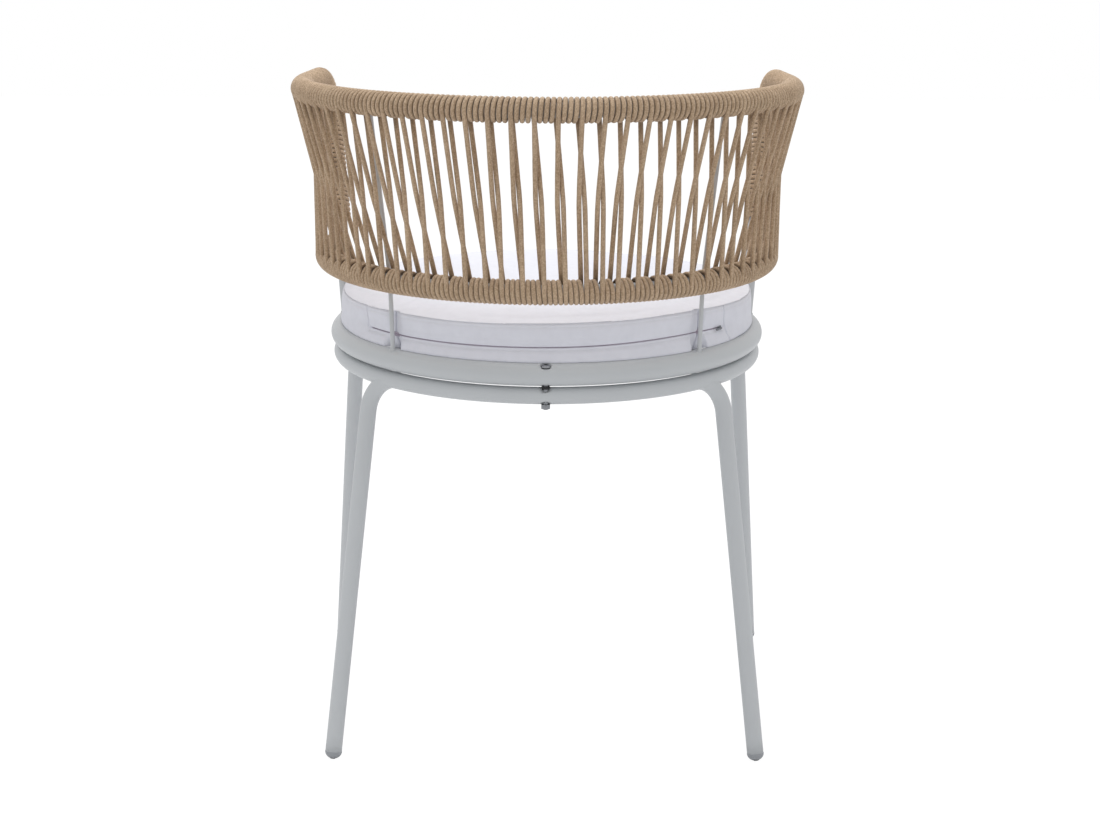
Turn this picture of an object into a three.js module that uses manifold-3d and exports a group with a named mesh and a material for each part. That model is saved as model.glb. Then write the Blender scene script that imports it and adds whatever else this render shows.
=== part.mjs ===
// Rope-backed armchair with a round seat: a powder-coated steel tube frame, a corded back and arms,
// and a loose round box cushion with a zip. Millimetres, +Z up, the front of the chair towards -Y.
// The origin is on the floor, under the middle of the whole chair.
import * as THREE from "three";
import { mergeVertices } from "three/addons/utils/BufferGeometryUtils.js";
import Module from "manifold-3d";

const wasm = await Module();
wasm.setup();

// Fits
const FIT = 0.3; // running gap between two pieces that touch
const OVERRUN = 5; // how far a cutter runs past what it cuts
const LOOSE_FIT = 0.45; // gap round a piece that follows a facetted surface
const WRAP_FIT = 1.05; // gap between a rail and the rope wrapped round it, which cuts across its curve

// Leg frame
const LEG_TUBE_D = 19;
const RING_R = 246; // centre line radius of the seat ring and the leg ring
const LEG_RING_Z = 433.5; // height of the leg ring's centre line
const LEG_BEND_R = 40; // centre line radius of the bend at the top of a leg
const REAR_FOOT_X = 243;
const REAR_FOOT_Y = 235;
const REAR_LEG_TOP_ANGLE = THREE.MathUtils.degToRad(52.4452); // round the ring from the middle of the back
const FRONT_FOOT_X = 271;
const FRONT_FOOT_Y = 142;
const FRONT_LEG_TOP_ANGLE = THREE.MathUtils.degToRad(72.1397); // and from the middle of the front
const LEG_TOP_OUTSET = 3; // how far outside the ring's circle a leg's straight part would meet it
const LEG_END_INSET = 1.5; // the bend ends this far inside the ring's circle
const LEG_BORE_D = 15.5;
const LEG_BORE_DEPTH = 20;

// Foot caps
const CAP_DOME_H = 8.5; // from the tube's end to the bottom of the dome
const CAP_RIM_D = 19.4;
const CAP_PLUG_H = 15;
const CAP_FLAT = 0.5; // the dome is flat by this much where it stands

// Seat ring and what bolts the two rings together
const SEAT_TUBE_D = 25;
const RING_GAP = 1.5; // between the two tubes at their nearest
const SCREW_OUTSET = 4.5; // the screws stand this far outside the rings' centre line
const SCREW_COUNT = 3;
const SCREW_D = 6;
const SCREW_HOLE_D = 6.8;
const SCREW_HEAD_D = 11.5;
const SCREW_HEAD_H = 3.6;
const SCREW_RECESS_D = 4.6;
const SCREW_RECESS_DEPTH = 1.8;
const HEAD_SEAT_DEPTH = 4.4; // spot face in the seat ring, below the tube's crown
const SCREW_TAIL = 1.2; // the thread shows this far below the nut
const SPACER_D = 9;
const SPACER_SEAT_DEPTH = 1.3; // spot face for the spacer, in from each tube's crown
const NUT_FLATS = 9.6;
const NUT_H = 4.8;
const NUT_SEAT_DEPTH = 1.4;

// Seat slats, welded across the inside of the seat ring
const SLAT_COUNT = 5;
const SLAT_W = 22;
const SLAT_T = 3;
const SLAT_PITCH = 82;
const SLAT_DROP = 1.2; // top of the slats below the seat ring's crown

// Back hoop: one tube from seat ring to seat ring, up the front posts, along the arms and round the back
const BACK_TUBE_D = 16;
const TOP_RAIL_R = 284;
const TOP_RAIL_Z = 744;
const ARM_TURN = THREE.MathUtils.degToRad(94); // the back's arc runs this far round on each side
const ARM_TIP_Y = 146; // the arm's corner lies this far in front of the ring's middle
const ARM_CORNER_R = 36;
const POST_FOOT_Y = 30; // the post's foot lies this far in front of the ring's middle
const POST_FOOT_INSET = 2; // and this far inside the ring's centre line

// Lower rail and back rods
const LOWER_RAIL_R = 261;
const LOWER_RAIL_Z = 550;
const ROD_D = 5;
const ROD_FOOT_ANGLE = THREE.MathUtils.degToRad(42.8);
const ROD_WAIST_ANGLE = THREE.MathUtils.degToRad(45.5);
const ROD_TOP_ANGLE = THREE.MathUtils.degToRad(46);
const ROD_FOOT_OUTSET = 4;
const ROD_BEND_R = 60;

// Rope. Wraps lie round the rails and posts, and over them the lacing runs down and up between the rails.
const ROPE_D = 6;
const STATION_PITCH = 23; // along the top rail, between places where the rope runs down and up again
const LOWER_STATION_PITCH = 20.1; // the same along the lower rail
const SECTION_COUNT = 8; // the lacing is made in this many sections
const TOP_WRAP_LOOPS = 23;
const LOWER_WRAP_LOOPS = 18;
const POST_WRAP_LOOPS = 6;
const CORNER_WRAP_LOOPS = 6;
const LOOP_STEPS = 6;
const POST_LOOP_STEPS = 8;
const LOOP_GAP = 0.9; // between one loop and the next
const CORNER_WRAP_FIT = 0.75; // the same round an arm's corner
const WRAP_T = 1.2; // thickness of the rails' wraps
const LACE_W = 5.2; // the lacing's rope, across
const LACE_T = 2.2; // its thickness where it is pressed flat on a rail
const STRAND_T = 5.2; // its thickness where it runs free
const STRAND_GAP = 0.6; // between the two strands of a station, where they pass each other
// Sideways places of a station's two strands: one leaves the top rail outside, the other inside
const OUTER_STRAND_TOP_SHIFT = 0;
const OUTER_STRAND_LOW_SHIFT = 1.6;
const INNER_STRAND_TOP_SHIFT = -2.9;
const INNER_STRAND_LOW_SHIFT = 7.2;

// Cushion
const CUSHION_INSET = 7; // its side lies this far inside the rings' centre line
const CUSHION_ROD_GAP = 2; // and at least this far inside the back rods
const CUSHION_EDGE_H = 41; // between its two seams
const CUSHION_CROWN = 13; // rise of the top above its seam
const CUSHION_BELLY = 1.5; // fall of the underside below its seam
const CUSHION_SIDE_DRAW = 2.5; // how far the sides pull in at the seams
const SEAM_DEPTH = 2;
const SEAM_W = 3;
const CUSHION_SEGMENTS = 34;
const SIDE_SHARES = [0.3, 0.5, 0.7]; // heights up the side
const TOP_SHARES = [0.92, 0.8, 0.62, 0.36]; // places on the top, out from its middle

// Zip along the back of the cushion
const ZIP_ANGLE = THREE.MathUtils.degToRad(56); // it runs this far round on each side
const ZIP_H = 5;
const ZIP_T = 1.1;
const ZIP_SINK = 1.5; // the zip lies in a groove this deep
const ZIP_RISE_SHARE = 0.39; // its height, as a share of the cushion's side
const ZIP_SEGMENTS = 22;
const SLIDER_L = 9;
const SLIDER_H = 5.6;
const SLIDER_T = 1.6;
const PULL_L = 13;
const PULL_H = 3.2;
const PULL_T = 0.8;
const PULL_PIN_D = 1.4;

// Worked out from the sizes above
const WOUND_D = BACK_TUBE_D + 2 * ROPE_D;
const SEAT_RING_Z = LEG_RING_Z + LEG_TUBE_D / 2 + RING_GAP + SEAT_TUBE_D / 2;
const SEAT_CROWN_Z = SEAT_RING_Z + SEAT_TUBE_D / 2;
const SLAT_TOP_Z = SEAT_CROWN_Z - SLAT_DROP;
const SCREW_R = RING_R + SCREW_OUTSET;
const HEAD_SEAT_Z = SEAT_CROWN_Z - HEAD_SEAT_DEPTH;
const UPPER_SPACER_Z = SEAT_RING_Z - SEAT_TUBE_D / 2 + SPACER_SEAT_DEPTH;
const LOWER_SPACER_Z = LEG_RING_Z + LEG_TUBE_D / 2 - SPACER_SEAT_DEPTH;
const NUT_SEAT_Z = LEG_RING_Z - LEG_TUBE_D / 2 + NUT_SEAT_DEPTH;

// Materials
function finish(name, color, roughness, metalness) {
  const material = new THREE.MeshStandardMaterial({ color, roughness, metalness });
  material.name = name;
  return material;
}

const powderCoat = finish("powder_coat", 0xb9bebd, 0.5, 0.0);
const capPlastic = finish("cap_plastic", 0xa9aead, 0.55, 0.0);
const zincSteel = finish("zinc_steel", 0x8f9294, 0.35, 1.0);
const blackRubber = finish("black_rubber", 0x1c1c1d, 0.8, 0.0);
const rope = finish("braided_rope", 0xb79b7d, 0.9, 0.0);
const cushionCloth = finish("cushion_cloth", 0xe4e2e8, 0.9, 0.0);
const zipTape = finish("zip_tape", 0xd3d1d8, 0.85, 0.0);
const zipMetal = finish("zip_metal", 0x6d6f73, 0.35, 1.0);

const chair = new THREE.Group();

function add(name, geometry, material) {
  const mesh = new THREE.Mesh(geometry, material);
  mesh.name = name;
  chair.add(mesh);
  return mesh;
}

// Booleans on closed geometries, all in the chair's own place
function toSolid(geometry) {
  const bare = geometry.clone();
  bare.deleteAttribute("normal");
  bare.deleteAttribute("uv");
  const merged = mergeVertices(bare, 1e-3);
  return new wasm.Manifold(new wasm.Mesh({
    numProp: 3,
    vertProperties: new Float32Array(merged.attributes.position.array),
    triVerts: new Uint32Array(merged.index.array),
  }));
}

function fromSolid(solid) {
  const mesh = solid.getMesh();
  const geometry = new THREE.BufferGeometry();
  geometry.setAttribute("position", new THREE.BufferAttribute(new Float32Array(mesh.vertProperties), 3));
  geometry.setIndex(new THREE.BufferAttribute(new Uint32Array(mesh.triVerts), 1));
  return geometry;
}

// What is left of a geometry when the cutters are taken off it, without the offcuts
function carve(geometry, cutters) {
  let solid = toSolid(geometry);
  for (const cutter of cutters) {
    solid = solid.subtract(toSolid(cutter));
  }
  const pieces = solid.decompose();
  pieces.sort((a, b) => b.volume() - a.volume());
  return fromSolid(pieces[0]);
}

function join(geometries) {
  let solid = toSolid(geometries[0]);
  for (const geometry of geometries.slice(1)) {
    solid = solid.add(toSolid(geometry));
  }
  return fromSolid(solid);
}

// A run of places that a tube follows, with one ring of the tube at each
class StationPath extends THREE.Curve {
  constructor(points) {
    super();
    this.points = points;
  }

  getPoint(t) {
    const last = this.points.length - 1;
    const index = Math.min(Math.floor(t * last + 1e-9), last - 1);
    return this.points[index].clone().lerp(this.points[index + 1], t * last - index);
  }

  getPointAt(t) {
    return this.getPoint(t);
  }

  getTangentAt(t) {
    const last = this.points.length - 1;
    const index = Math.round(t * last);
    const before = this.points[Math.max(index - 1, 0)];
    const here = this.points[index];
    const after = this.points[Math.min(index + 1, last)];
    const arriving = here.clone().sub(before).normalize();
    const leaving = after.clone().sub(here).normalize();
    return arriving.add(leaving).normalize();
  }
}

function polygon(radius, sides) {
  const points = [];
  for (let i = 0; i < sides; i += 1) {
    const turn = (2 * Math.PI * i) / sides;
    points.push(new THREE.Vector2(radius * Math.cos(turn), radius * Math.sin(turn)));
  }
  return new THREE.Shape(points);
}

function tube(points, diameter, sides) {
  return new THREE.ExtrudeGeometry(polygon(diameter / 2, sides), {
    steps: points.length - 1,
    extrudePath: new StationPath(points),
  });
}

// A cylinder standing on z = bottom at (x, y)
function post(x, y, bottom, height, diameter, sides) {
  const geometry = new THREE.CylinderGeometry(diameter / 2, diameter / 2, height, sides);
  geometry.rotateX(Math.PI / 2);
  geometry.translate(x, y, bottom + height / 2);
  return geometry;
}

// The arc that rounds the corner at b between the lines a-b and b-c
function corner(a, b, c, radius, steps) {
  const back = a.clone().sub(b).normalize();
  const forth = c.clone().sub(b).normalize();
  const half = back.angleTo(forth) / 2;
  const reach = radius / Math.tan(half);
  const middle = back.clone().add(forth).normalize().multiplyScalar(radius / Math.sin(half)).add(b);
  const start = b.clone().addScaledVector(back, reach).sub(middle);
  const axis = new THREE.Vector3().crossVectors(start, b.clone().addScaledVector(forth, reach).sub(middle));
  axis.normalize();
  const points = [];
  for (let i = 0; i <= steps; i += 1) {
    const turn = ((Math.PI - 2 * half) * i) / steps;
    points.push(start.clone().applyAxisAngle(axis, turn).add(middle));
  }
  return points;
}

// A point on a level circle, at an angle from the back of the chair, positive towards -X
function onCircle(radius, angle, z) {
  return new THREE.Vector3(-radius * Math.sin(angle), radius * Math.cos(angle), z);
}

function ringTube(radius, diameter, z, around, sides) {
  const geometry = new THREE.TorusGeometry(radius, diameter / 2, sides, around);
  geometry.translate(0, 0, z);
  return geometry;
}

// The two rings and the screws that join them
const SEAT_RING_SIDES = 10;
const LEG_RING_SIDES = 8;
const RING_STEPS = 40;
const ROUND_SIDES = 8;

function screwPlaces() {
  const places = [];
  for (let i = 0; i < SCREW_COUNT; i += 1) {
    places.push(onCircle(SCREW_R, (2 * Math.PI * i) / SCREW_COUNT, 0));
  }
  return places;
}

function spotFace(place, from, to, diameter) {
  const clearD = diameter / Math.cos(Math.PI / ROUND_SIDES);
  return post(place.x, place.y, Math.min(from, to), Math.abs(to - from), clearD, ROUND_SIDES);
}

function makeRings() {
  const seatCuts = [];
  const legCuts = [];
  const faceD = SCREW_HEAD_D + 2 * FIT;
  const spacerFaceD = SPACER_D + 2 * FIT;
  for (const place of screwPlaces()) {
    seatCuts.push(spotFace(place, LEG_RING_Z, SEAT_CROWN_Z + OVERRUN, SCREW_HOLE_D));
    seatCuts.push(spotFace(place, HEAD_SEAT_Z, SEAT_CROWN_Z + OVERRUN, faceD));
    seatCuts.push(spotFace(place, UPPER_SPACER_Z, LEG_RING_Z, spacerFaceD));
    legCuts.push(spotFace(place, NUT_SEAT_Z - OVERRUN, SEAT_RING_Z, SCREW_HOLE_D));
    legCuts.push(spotFace(place, LOWER_SPACER_Z, SEAT_RING_Z, spacerFaceD));
    legCuts.push(spotFace(place, NUT_SEAT_Z, NUT_SEAT_Z - OVERRUN, 2 * NUT_FLATS / Math.sqrt(3) + 2 * FIT));
  }
  const seatRing = ringTube(RING_R, SEAT_TUBE_D, SEAT_RING_Z, RING_STEPS, SEAT_RING_SIDES);
  const legRing = ringTube(RING_R, LEG_TUBE_D, LEG_RING_Z, RING_STEPS, LEG_RING_SIDES);
  add("seat_ring", carve(seatRing, seatCuts), powderCoat);
  add("leg_ring", carve(legRing, legCuts), powderCoat);
}

// A pan-head machine screw, head up, with a round driver recess
function screwProfile() {
  const top = HEAD_SEAT_Z + FIT + SCREW_HEAD_H;
  const tail = NUT_SEAT_Z - FIT - NUT_H - SCREW_TAIL;
  const headR = SCREW_HEAD_D / 2;
  const shankR = SCREW_D / 2;
  const recessR = SCREW_RECESS_D / 2;
  const dome = SCREW_HEAD_H / 3;
  return [
    new THREE.Vector2(0, tail),
    new THREE.Vector2(shankR, tail),
    new THREE.Vector2(shankR, HEAD_SEAT_Z + FIT),
    new THREE.Vector2(headR, HEAD_SEAT_Z + FIT),
    new THREE.Vector2(headR, top - 2 * dome),
    new THREE.Vector2(headR - dome, top - dome / 2),
    new THREE.Vector2(recessR, top),
    new THREE.Vector2(recessR, top - SCREW_RECESS_DEPTH),
    new THREE.Vector2(0, top - SCREW_RECESS_DEPTH),
  ];
}

function lathe(profile, sides) {
  const geometry = new THREE.LatheGeometry(profile, sides);
  geometry.rotateX(Math.PI / 2);
  return geometry;
}

function boredDisc(bottom, height, outer, bore, sides) {
  const shape = polygon(outer / 2, sides);
  shape.holes.push(polygon(bore / 2, ROUND_SIDES));
  const geometry = new THREE.ExtrudeGeometry(shape, { depth: height, bevelEnabled: false });
  geometry.translate(0, 0, bottom);
  return geometry;
}

function makeFasteners() {
  const spacerBottom = LOWER_SPACER_Z + FIT;
  const spacerHeight = UPPER_SPACER_Z - LOWER_SPACER_Z - 2 * FIT;
  const bore = SCREW_D + 2 * FIT;
  const nutBottom = NUT_SEAT_Z - FIT - NUT_H;
  const screw = lathe(screwProfile(), ROUND_SIDES);
  const spacer = boredDisc(spacerBottom, spacerHeight, SPACER_D, bore, ROUND_SIDES);
  const nut = boredDisc(nutBottom, NUT_H, 2 * NUT_FLATS / Math.sqrt(3), bore, 6);
  screwPlaces().forEach((place, i) => {
    add(`ring_screw_${i + 1}`, screw, zincSteel).position.copy(place);
    add(`ring_spacer_${i + 1}`, spacer, blackRubber).position.copy(place);
    add(`ring_nut_${i + 1}`, nut, zincSteel).position.copy(place);
  });
}

// Legs: straight, with a bend at the top that runs into the leg ring. Left is the sitter's left, +X.
const LEG_SIDES = 10;
const LEG_BEND_STEPS = 5;

function legTop(side, front) {
  const radius = RING_R + LEG_TOP_OUTSET;
  const angle = front ? Math.PI - FRONT_LEG_TOP_ANGLE : REAR_LEG_TOP_ANGLE;
  return onCircle(radius, -side * angle, LEG_RING_Z);
}

function makeLeg(name, side, front) {
  const footX = front ? FRONT_FOOT_X : REAR_FOOT_X;
  const footY = front ? -FRONT_FOOT_Y : REAR_FOOT_Y;
  const top = legTop(side, front);
  const foot = new THREE.Vector3(side * footX, footY, 0);
  const up = top.clone().sub(foot).normalize();
  // The tube starts above the floor by the height of its cap, along the leg
  const end = foot.clone().addScaledVector(up, CAP_DOME_H);
  // Past the bend the leg runs along the ring, towards the middle of the front or of the back
  const along = new THREE.Vector3(-side * Math.abs(top.y), Math.sign(top.y) * Math.abs(top.x), 0);
  along.normalize();
  const run = top.clone().addScaledVector(along, LEG_BEND_R + OVERRUN);
  run.setZ(0).setLength(RING_R - LEG_END_INSET).setZ(LEG_RING_Z);
  const bend = corner(end, top, run, LEG_BEND_R, LEG_BEND_STEPS);
  const leg = tube([end, ...bend], LEG_TUBE_D, LEG_SIDES);
  const clearD = (LEG_TUBE_D + 2 * LOOSE_FIT) / Math.cos(Math.PI / LEG_RING_SIDES);
  const ring = ringTube(RING_R, clearD, LEG_RING_Z, 2 * RING_STEPS, LEG_RING_SIDES);
  const boreStart = end.clone().addScaledVector(up, -OVERRUN);
  const boreEnd = end.clone().addScaledVector(up, LEG_BORE_DEPTH);
  const bore = tube([boreStart, boreEnd], LEG_BORE_D / Math.cos(Math.PI / LEG_SIDES), LEG_SIDES);
  add(name, carve(leg, [ring, bore]), powderCoat);
  makeCap(name.replace("leg", "foot_cap"), foot, up);
}

// Foot cap: a domed plastic plug in the end of the tube, flat where it stands on the floor
function makeCap(name, foot, up) {
  const rim = CAP_RIM_D / 2;
  const plug = LEG_BORE_D / 2 - FIT;
  const start = CAP_DOME_H - FIT;
  const profile = [new THREE.Vector2(0, -CAP_FLAT)];
  const steps = 5;
  for (let i = 1; i <= steps; i += 1) {
    const turn = (Math.PI / 2) * (i / steps);
    profile.push(new THREE.Vector2(rim * Math.sin(turn), start - (start + CAP_FLAT) * Math.cos(turn)));
  }
  profile.push(new THREE.Vector2(plug, start));
  profile.push(new THREE.Vector2(plug, start + CAP_PLUG_H));
  profile.push(new THREE.Vector2(0, start + CAP_PLUG_H));
  const cap = lathe(profile, ROUND_SIDES);
  cap.applyQuaternion(new THREE.Quaternion().setFromUnitVectors(new THREE.Vector3(0, 0, 1), up));
  cap.translate(foot.x, foot.y, foot.z);
  const floor = new THREE.BoxGeometry(2 * CAP_RIM_D, 2 * CAP_RIM_D, 2 * CAP_DOME_H);
  floor.translate(foot.x, foot.y, -CAP_DOME_H);
  add(name, carve(cap, [floor]), capPlastic);
}

function makeLegs() {
  makeLeg("rear_leg_left", 1, false);
  makeLeg("rear_leg_right", -1, false);
  makeLeg("front_leg_left", 1, true);
  makeLeg("front_leg_right", -1, true);
}

// Flat slats across the seat ring, each with its ends fitted to the tube
function makeSlats() {
  const clear = ringTube(RING_R, SEAT_TUBE_D + 2 * LOOSE_FIT, SEAT_RING_Z, RING_STEPS, SEAT_RING_SIDES);
  for (let i = 0; i < SLAT_COUNT; i += 1) {
    const y = (i - (SLAT_COUNT - 1) / 2) * SLAT_PITCH;
    const nearest = Math.abs(y) + SLAT_W / 2;
    const half = Math.sqrt(RING_R * RING_R - nearest * nearest);
    const slat = new THREE.BoxGeometry(2 * half, SLAT_W, SLAT_T);
    slat.translate(0, y, SLAT_TOP_Z - SLAT_T / 2);
    add(`seat_slat_${i + 1}`, carve(slat, [clear]), powderCoat);
  }
}

// The back hoop's centre line, from its left foot round to its right one
const HOOP_SIDES = 8;
const HOOP_ARC_STEPS = 32;
const HOOP_CORNER_STEPS = 8;

function hoopPlaces(side) {
  const footR = RING_R - POST_FOOT_INSET;
  const footX = Math.sqrt(footR * footR - POST_FOOT_Y * POST_FOOT_Y);
  const foot = new THREE.Vector3(-side * footX, -POST_FOOT_Y, SEAT_RING_Z);
  const turn = side * ARM_TURN;
  const armStart = onCircle(TOP_RAIL_R, turn, TOP_RAIL_Z);
  // The arm leaves the arc along its tangent and runs forward to the tip
  const forward = new THREE.Vector3(-side * Math.cos(ARM_TURN), -Math.sin(ARM_TURN), 0);
  const tip = armStart.clone().addScaledVector(forward, (ARM_TIP_Y + armStart.y) / Math.sin(ARM_TURN));
  return { foot, tip, armStart };
}

function hoopCorner(side) {
  const { foot, tip, armStart } = hoopPlaces(side);
  return corner(foot, tip, armStart, ARM_CORNER_R, HOOP_CORNER_STEPS);
}

function topArc(steps) {
  const points = [];
  for (let i = 0; i <= steps; i += 1) {
    points.push(onCircle(TOP_RAIL_R, ARM_TURN * ((2 * i) / steps - 1), TOP_RAIL_Z));
  }
  return points;
}

function lowerRailAngle() {
  // Where the straight post crosses the lower rail's circle
  const { foot, tip } = hoopPlaces(1);
  const share = (LOWER_RAIL_Z - foot.z) / (tip.z - foot.z);
  const crossing = foot.clone().lerp(tip, share);
  return Math.PI / 2 + Math.asin(-crossing.y / LOWER_RAIL_R);
}

function makeHoop() {
  const left = hoopCorner(-1);
  const right = hoopCorner(1).reverse();
  const points = [hoopPlaces(-1).foot, ...left, ...topArc(HOOP_ARC_STEPS), ...right, hoopPlaces(1).foot];
  const clear = ringTube(RING_R, SEAT_TUBE_D + 2 * LOOSE_FIT, SEAT_RING_Z, RING_STEPS, 2 * SEAT_RING_SIDES);
  add("back_hoop", carve(tube(points, BACK_TUBE_D, HOOP_SIDES), [clear]), powderCoat);
}

const LOWER_RAIL_STEPS = 28;

function lowerArc(steps, from, to) {
  const points = [];
  for (let i = 0; i <= steps; i += 1) {
    points.push(onCircle(LOWER_RAIL_R, from + ((to - from) * i) / steps, LOWER_RAIL_Z));
  }
  return points;
}

function postLine(side, diameter) {
  const { foot, tip } = hoopPlaces(side);
  return tube([foot, tip], diameter, 2 * HOOP_SIDES);
}

function makeLowerRail() {
  // The tube stops short of the post's axis and is fitted to the post's side
  const reach = lowerRailAngle() - BACK_TUBE_D / 4 / LOWER_RAIL_R;
  const rail = tube(lowerArc(LOWER_RAIL_STEPS, -reach, reach), BACK_TUBE_D, HOOP_SIDES);
  const clearD = BACK_TUBE_D + 2 * LOOSE_FIT;
  add("lower_rail", carve(rail, [postLine(-1, clearD), postLine(1, clearD)]), powderCoat);
}

// Back rods, from the seat ring up inside the lower rail to the underside of the top rail
const ROD_SIDES = 8;

function rodPlaces(side) {
  // The rods pass inside the lacing at both rails
  const inset = laceR() + (LACE_T + ROD_D) / 2 + FIT;
  return [
    onCircle(RING_R + ROD_FOOT_OUTSET, side * ROD_FOOT_ANGLE, SEAT_RING_Z),
    onCircle(LOWER_RAIL_R - inset, side * ROD_WAIST_ANGLE, LOWER_RAIL_Z),
    onCircle(TOP_RAIL_R - inset, side * ROD_TOP_ANGLE, TOP_RAIL_Z),
  ];
}

function makeRods() {
  const clear = ringTube(RING_R, SEAT_TUBE_D + 2 * LOOSE_FIT, SEAT_RING_Z, RING_STEPS, 2 * SEAT_RING_SIDES);
  for (const [name, side] of [["back_rod_left", -1], ["back_rod_right", 1]]) {
    const [foot, waist, top] = rodPlaces(side);
    const bend = corner(foot, waist, top, ROD_BEND_R, 4);
    add(name, carve(tube([foot, ...bend, top], ROD_D, ROD_SIDES), [clear]), powderCoat);
  }
}

// Rope wrapped round a tube: one flat helical band, each loop as wide as the rope turns that it stands for
class WrappedRail {
  constructor(points) {
    this.points = points;
    this.lengths = [0];
    for (let i = 1; i < points.length; i += 1) {
      this.lengths.push(this.lengths[i - 1] + points[i].distanceTo(points[i - 1]));
    }
    this.length = this.lengths[points.length - 1];
  }

  // Place, direction, outward and upward at a distance along the rail; up follows the bend
  frameAt(distance) {
    const last = this.points.length - 1;
    let index = 1;
    while (index < last && this.lengths[index] < distance) {
      index += 1;
    }
    const share = (distance - this.lengths[index - 1]) / (this.lengths[index] - this.lengths[index - 1]);
    const place = this.points[index - 1].clone().lerp(this.points[index], share);
    const path = new StationPath(this.points);
    const before = path.getTangentAt((index - 1) / last);
    const after = path.getTangentAt(index / last);
    const along = before.lerp(after, share).normalize();
    const outward = new THREE.Vector3(place.x, place.y, 0).normalize();
    outward.addScaledVector(along, -outward.dot(along)).normalize();
    const up = new THREE.Vector3().crossVectors(along, outward);
    return { place, along, outward, up };
  }
}

// The loops are facetted, so their corners lie far enough out for their faces to clear the tube
function wrapInnerR(fit, loopSteps) {
  return (BACK_TUBE_D / 2 + fit) / Math.cos(Math.PI / loopSteps);
}

function wrapBand(points, loops, loopSteps, inner, outer) {
  const rail = new WrappedRail(points);
  const pitch = rail.length / (loops + 1);
  const half = (pitch - LOOP_GAP) / 2;
  const corners = [[-half, inner], [-half, outer], [half, outer], [half, inner]];
  const rings = [];
  for (let i = 0; i <= loops * loopSteps; i += 1) {
    const turn = (2 * Math.PI * i) / loopSteps;
    const middle = (pitch * (i + loopSteps / 2)) / loopSteps;
    const ring = [];
    for (const [shift, radius] of corners) {
      const frame = rail.frameAt(middle + shift);
      const arm = frame.outward.multiplyScalar(Math.cos(turn)).addScaledVector(frame.up, Math.sin(turn));
      ring.push(frame.place.addScaledVector(arm, radius));
    }
    rings.push(ring);
  }
  return rings;
}

// A closed skin over rings of points, with a fan on each end
function skin(rings) {
  const sides = rings[0].length;
  const positions = [];
  const index = [];
  for (const ring of rings) {
    for (const point of ring) {
      positions.push(point.x, point.y, point.z);
    }
  }
  for (let i = 0; i < rings.length - 1; i += 1) {
    for (let j = 0; j < sides; j += 1) {
      const a = i * sides + j;
      const b = i * sides + ((j + 1) % sides);
      index.push(a, b, a + sides, b, b + sides, a + sides);
    }
  }
  const end = (rings.length - 1) * sides;
  for (let j = 1; j < sides - 1; j += 1) {
    index.push(0, j + 1, j, end, end + j, end + j + 1);
  }
  const geometry = new THREE.BufferGeometry();
  geometry.setAttribute("position", new THREE.BufferAttribute(new Float32Array(positions), 3));
  geometry.setIndex(index);
  return facingOut(geometry);
}

function facingOut(geometry) {
  const position = geometry.attributes.position;
  const index = geometry.index;
  const a = new THREE.Vector3();
  const b = new THREE.Vector3();
  const c = new THREE.Vector3();
  let volume = 0;
  for (let i = 0; i < index.count; i += 3) {
    a.fromBufferAttribute(position, index.getX(i));
    b.fromBufferAttribute(position, index.getX(i + 1));
    c.fromBufferAttribute(position, index.getX(i + 2));
    volume += a.dot(b.cross(c));
  }
  if (volume < 0) {
    for (let i = 0; i < index.count; i += 3) {
      const first = index.getX(i);
      index.setX(i, index.getX(i + 1));
      index.setX(i + 1, first);
    }
  }
  return geometry;
}

// The least distance between the facing edges of one loop and the next, measured on the band's points
function leastLoopGap(rings, loopSteps) {
  let least = Infinity;
  for (let i = 0; i + loopSteps < rings.length; i += 1) {
    for (let j = -1; j <= 1; j += 1) {
      const next = rings[Math.min(i + loopSteps + j, rings.length - 1)];
      for (const mine of [rings[i][2], rings[i][3]]) {
        for (const theirs of [next[0], next[1]]) {
          least = Math.min(least, mine.distanceTo(theirs));
        }
      }
    }
  }
  return least;
}

function makeWrap(name, points, loops, loopSteps, inner, outer) {
  const rings = wrapBand(points, loops, loopSteps, inner, outer);
  console.log(`${name}: least gap between loops ${leastLoopGap(rings, loopSteps).toFixed(2)} mm`);
  add(name, skin(rings), rope);
}

// The rails' wraps lie under the lacing. The front posts, where there is none, are wrapped to the full
// thickness, from just above the lower rail's rope up to the arm's corner and round it.
function makeWraps() {
  const railInner = wrapInnerR(WRAP_FIT, LOOP_STEPS);
  const railOuter = railInner + WRAP_T;
  makeWrap("top_rail_wrap", topArmLine(), TOP_WRAP_LOOPS, LOOP_STEPS, railInner, railOuter);
  const reach = lowerRailAngle() - (BACK_TUBE_D + WRAP_FIT) / LOWER_RAIL_R;
  const lowerLine = lowerArc(3 * LOWER_RAIL_STEPS, -reach, reach);
  makeWrap("lower_rail_wrap", lowerLine, LOWER_WRAP_LOOPS, LOOP_STEPS, railInner, railOuter);
  for (const [name, side] of [["left", -1], ["right", 1]]) {
    const { foot, tip } = hoopPlaces(side);
    const up = tip.clone().sub(foot).normalize();
    const rise = (LOWER_RAIL_Z + WOUND_D / 2 + FIT - foot.z) / up.z + BACK_TUBE_D / 2;
    const bend = hoopCorner(side);
    const post = [foot.clone().addScaledVector(up, rise), bend[0]];
    const postInner = wrapInnerR(FIT, POST_LOOP_STEPS);
    const bendInner = wrapInnerR(CORNER_WRAP_FIT, POST_LOOP_STEPS);
    makeWrap(`post_wrap_${name}`, post, POST_WRAP_LOOPS, POST_LOOP_STEPS, postInner, WOUND_D / 2);
    makeWrap(`arm_corner_wrap_${name}`, bend, CORNER_WRAP_LOOPS, POST_LOOP_STEPS, bendInner, WOUND_D / 2);
  }
}

// The top rail between its two corners
function topArmLine() {
  return [hoopCorner(-1).at(-1), ...topArc(3 * HOOP_ARC_STEPS), hoopCorner(1).at(-1)];
}

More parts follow.
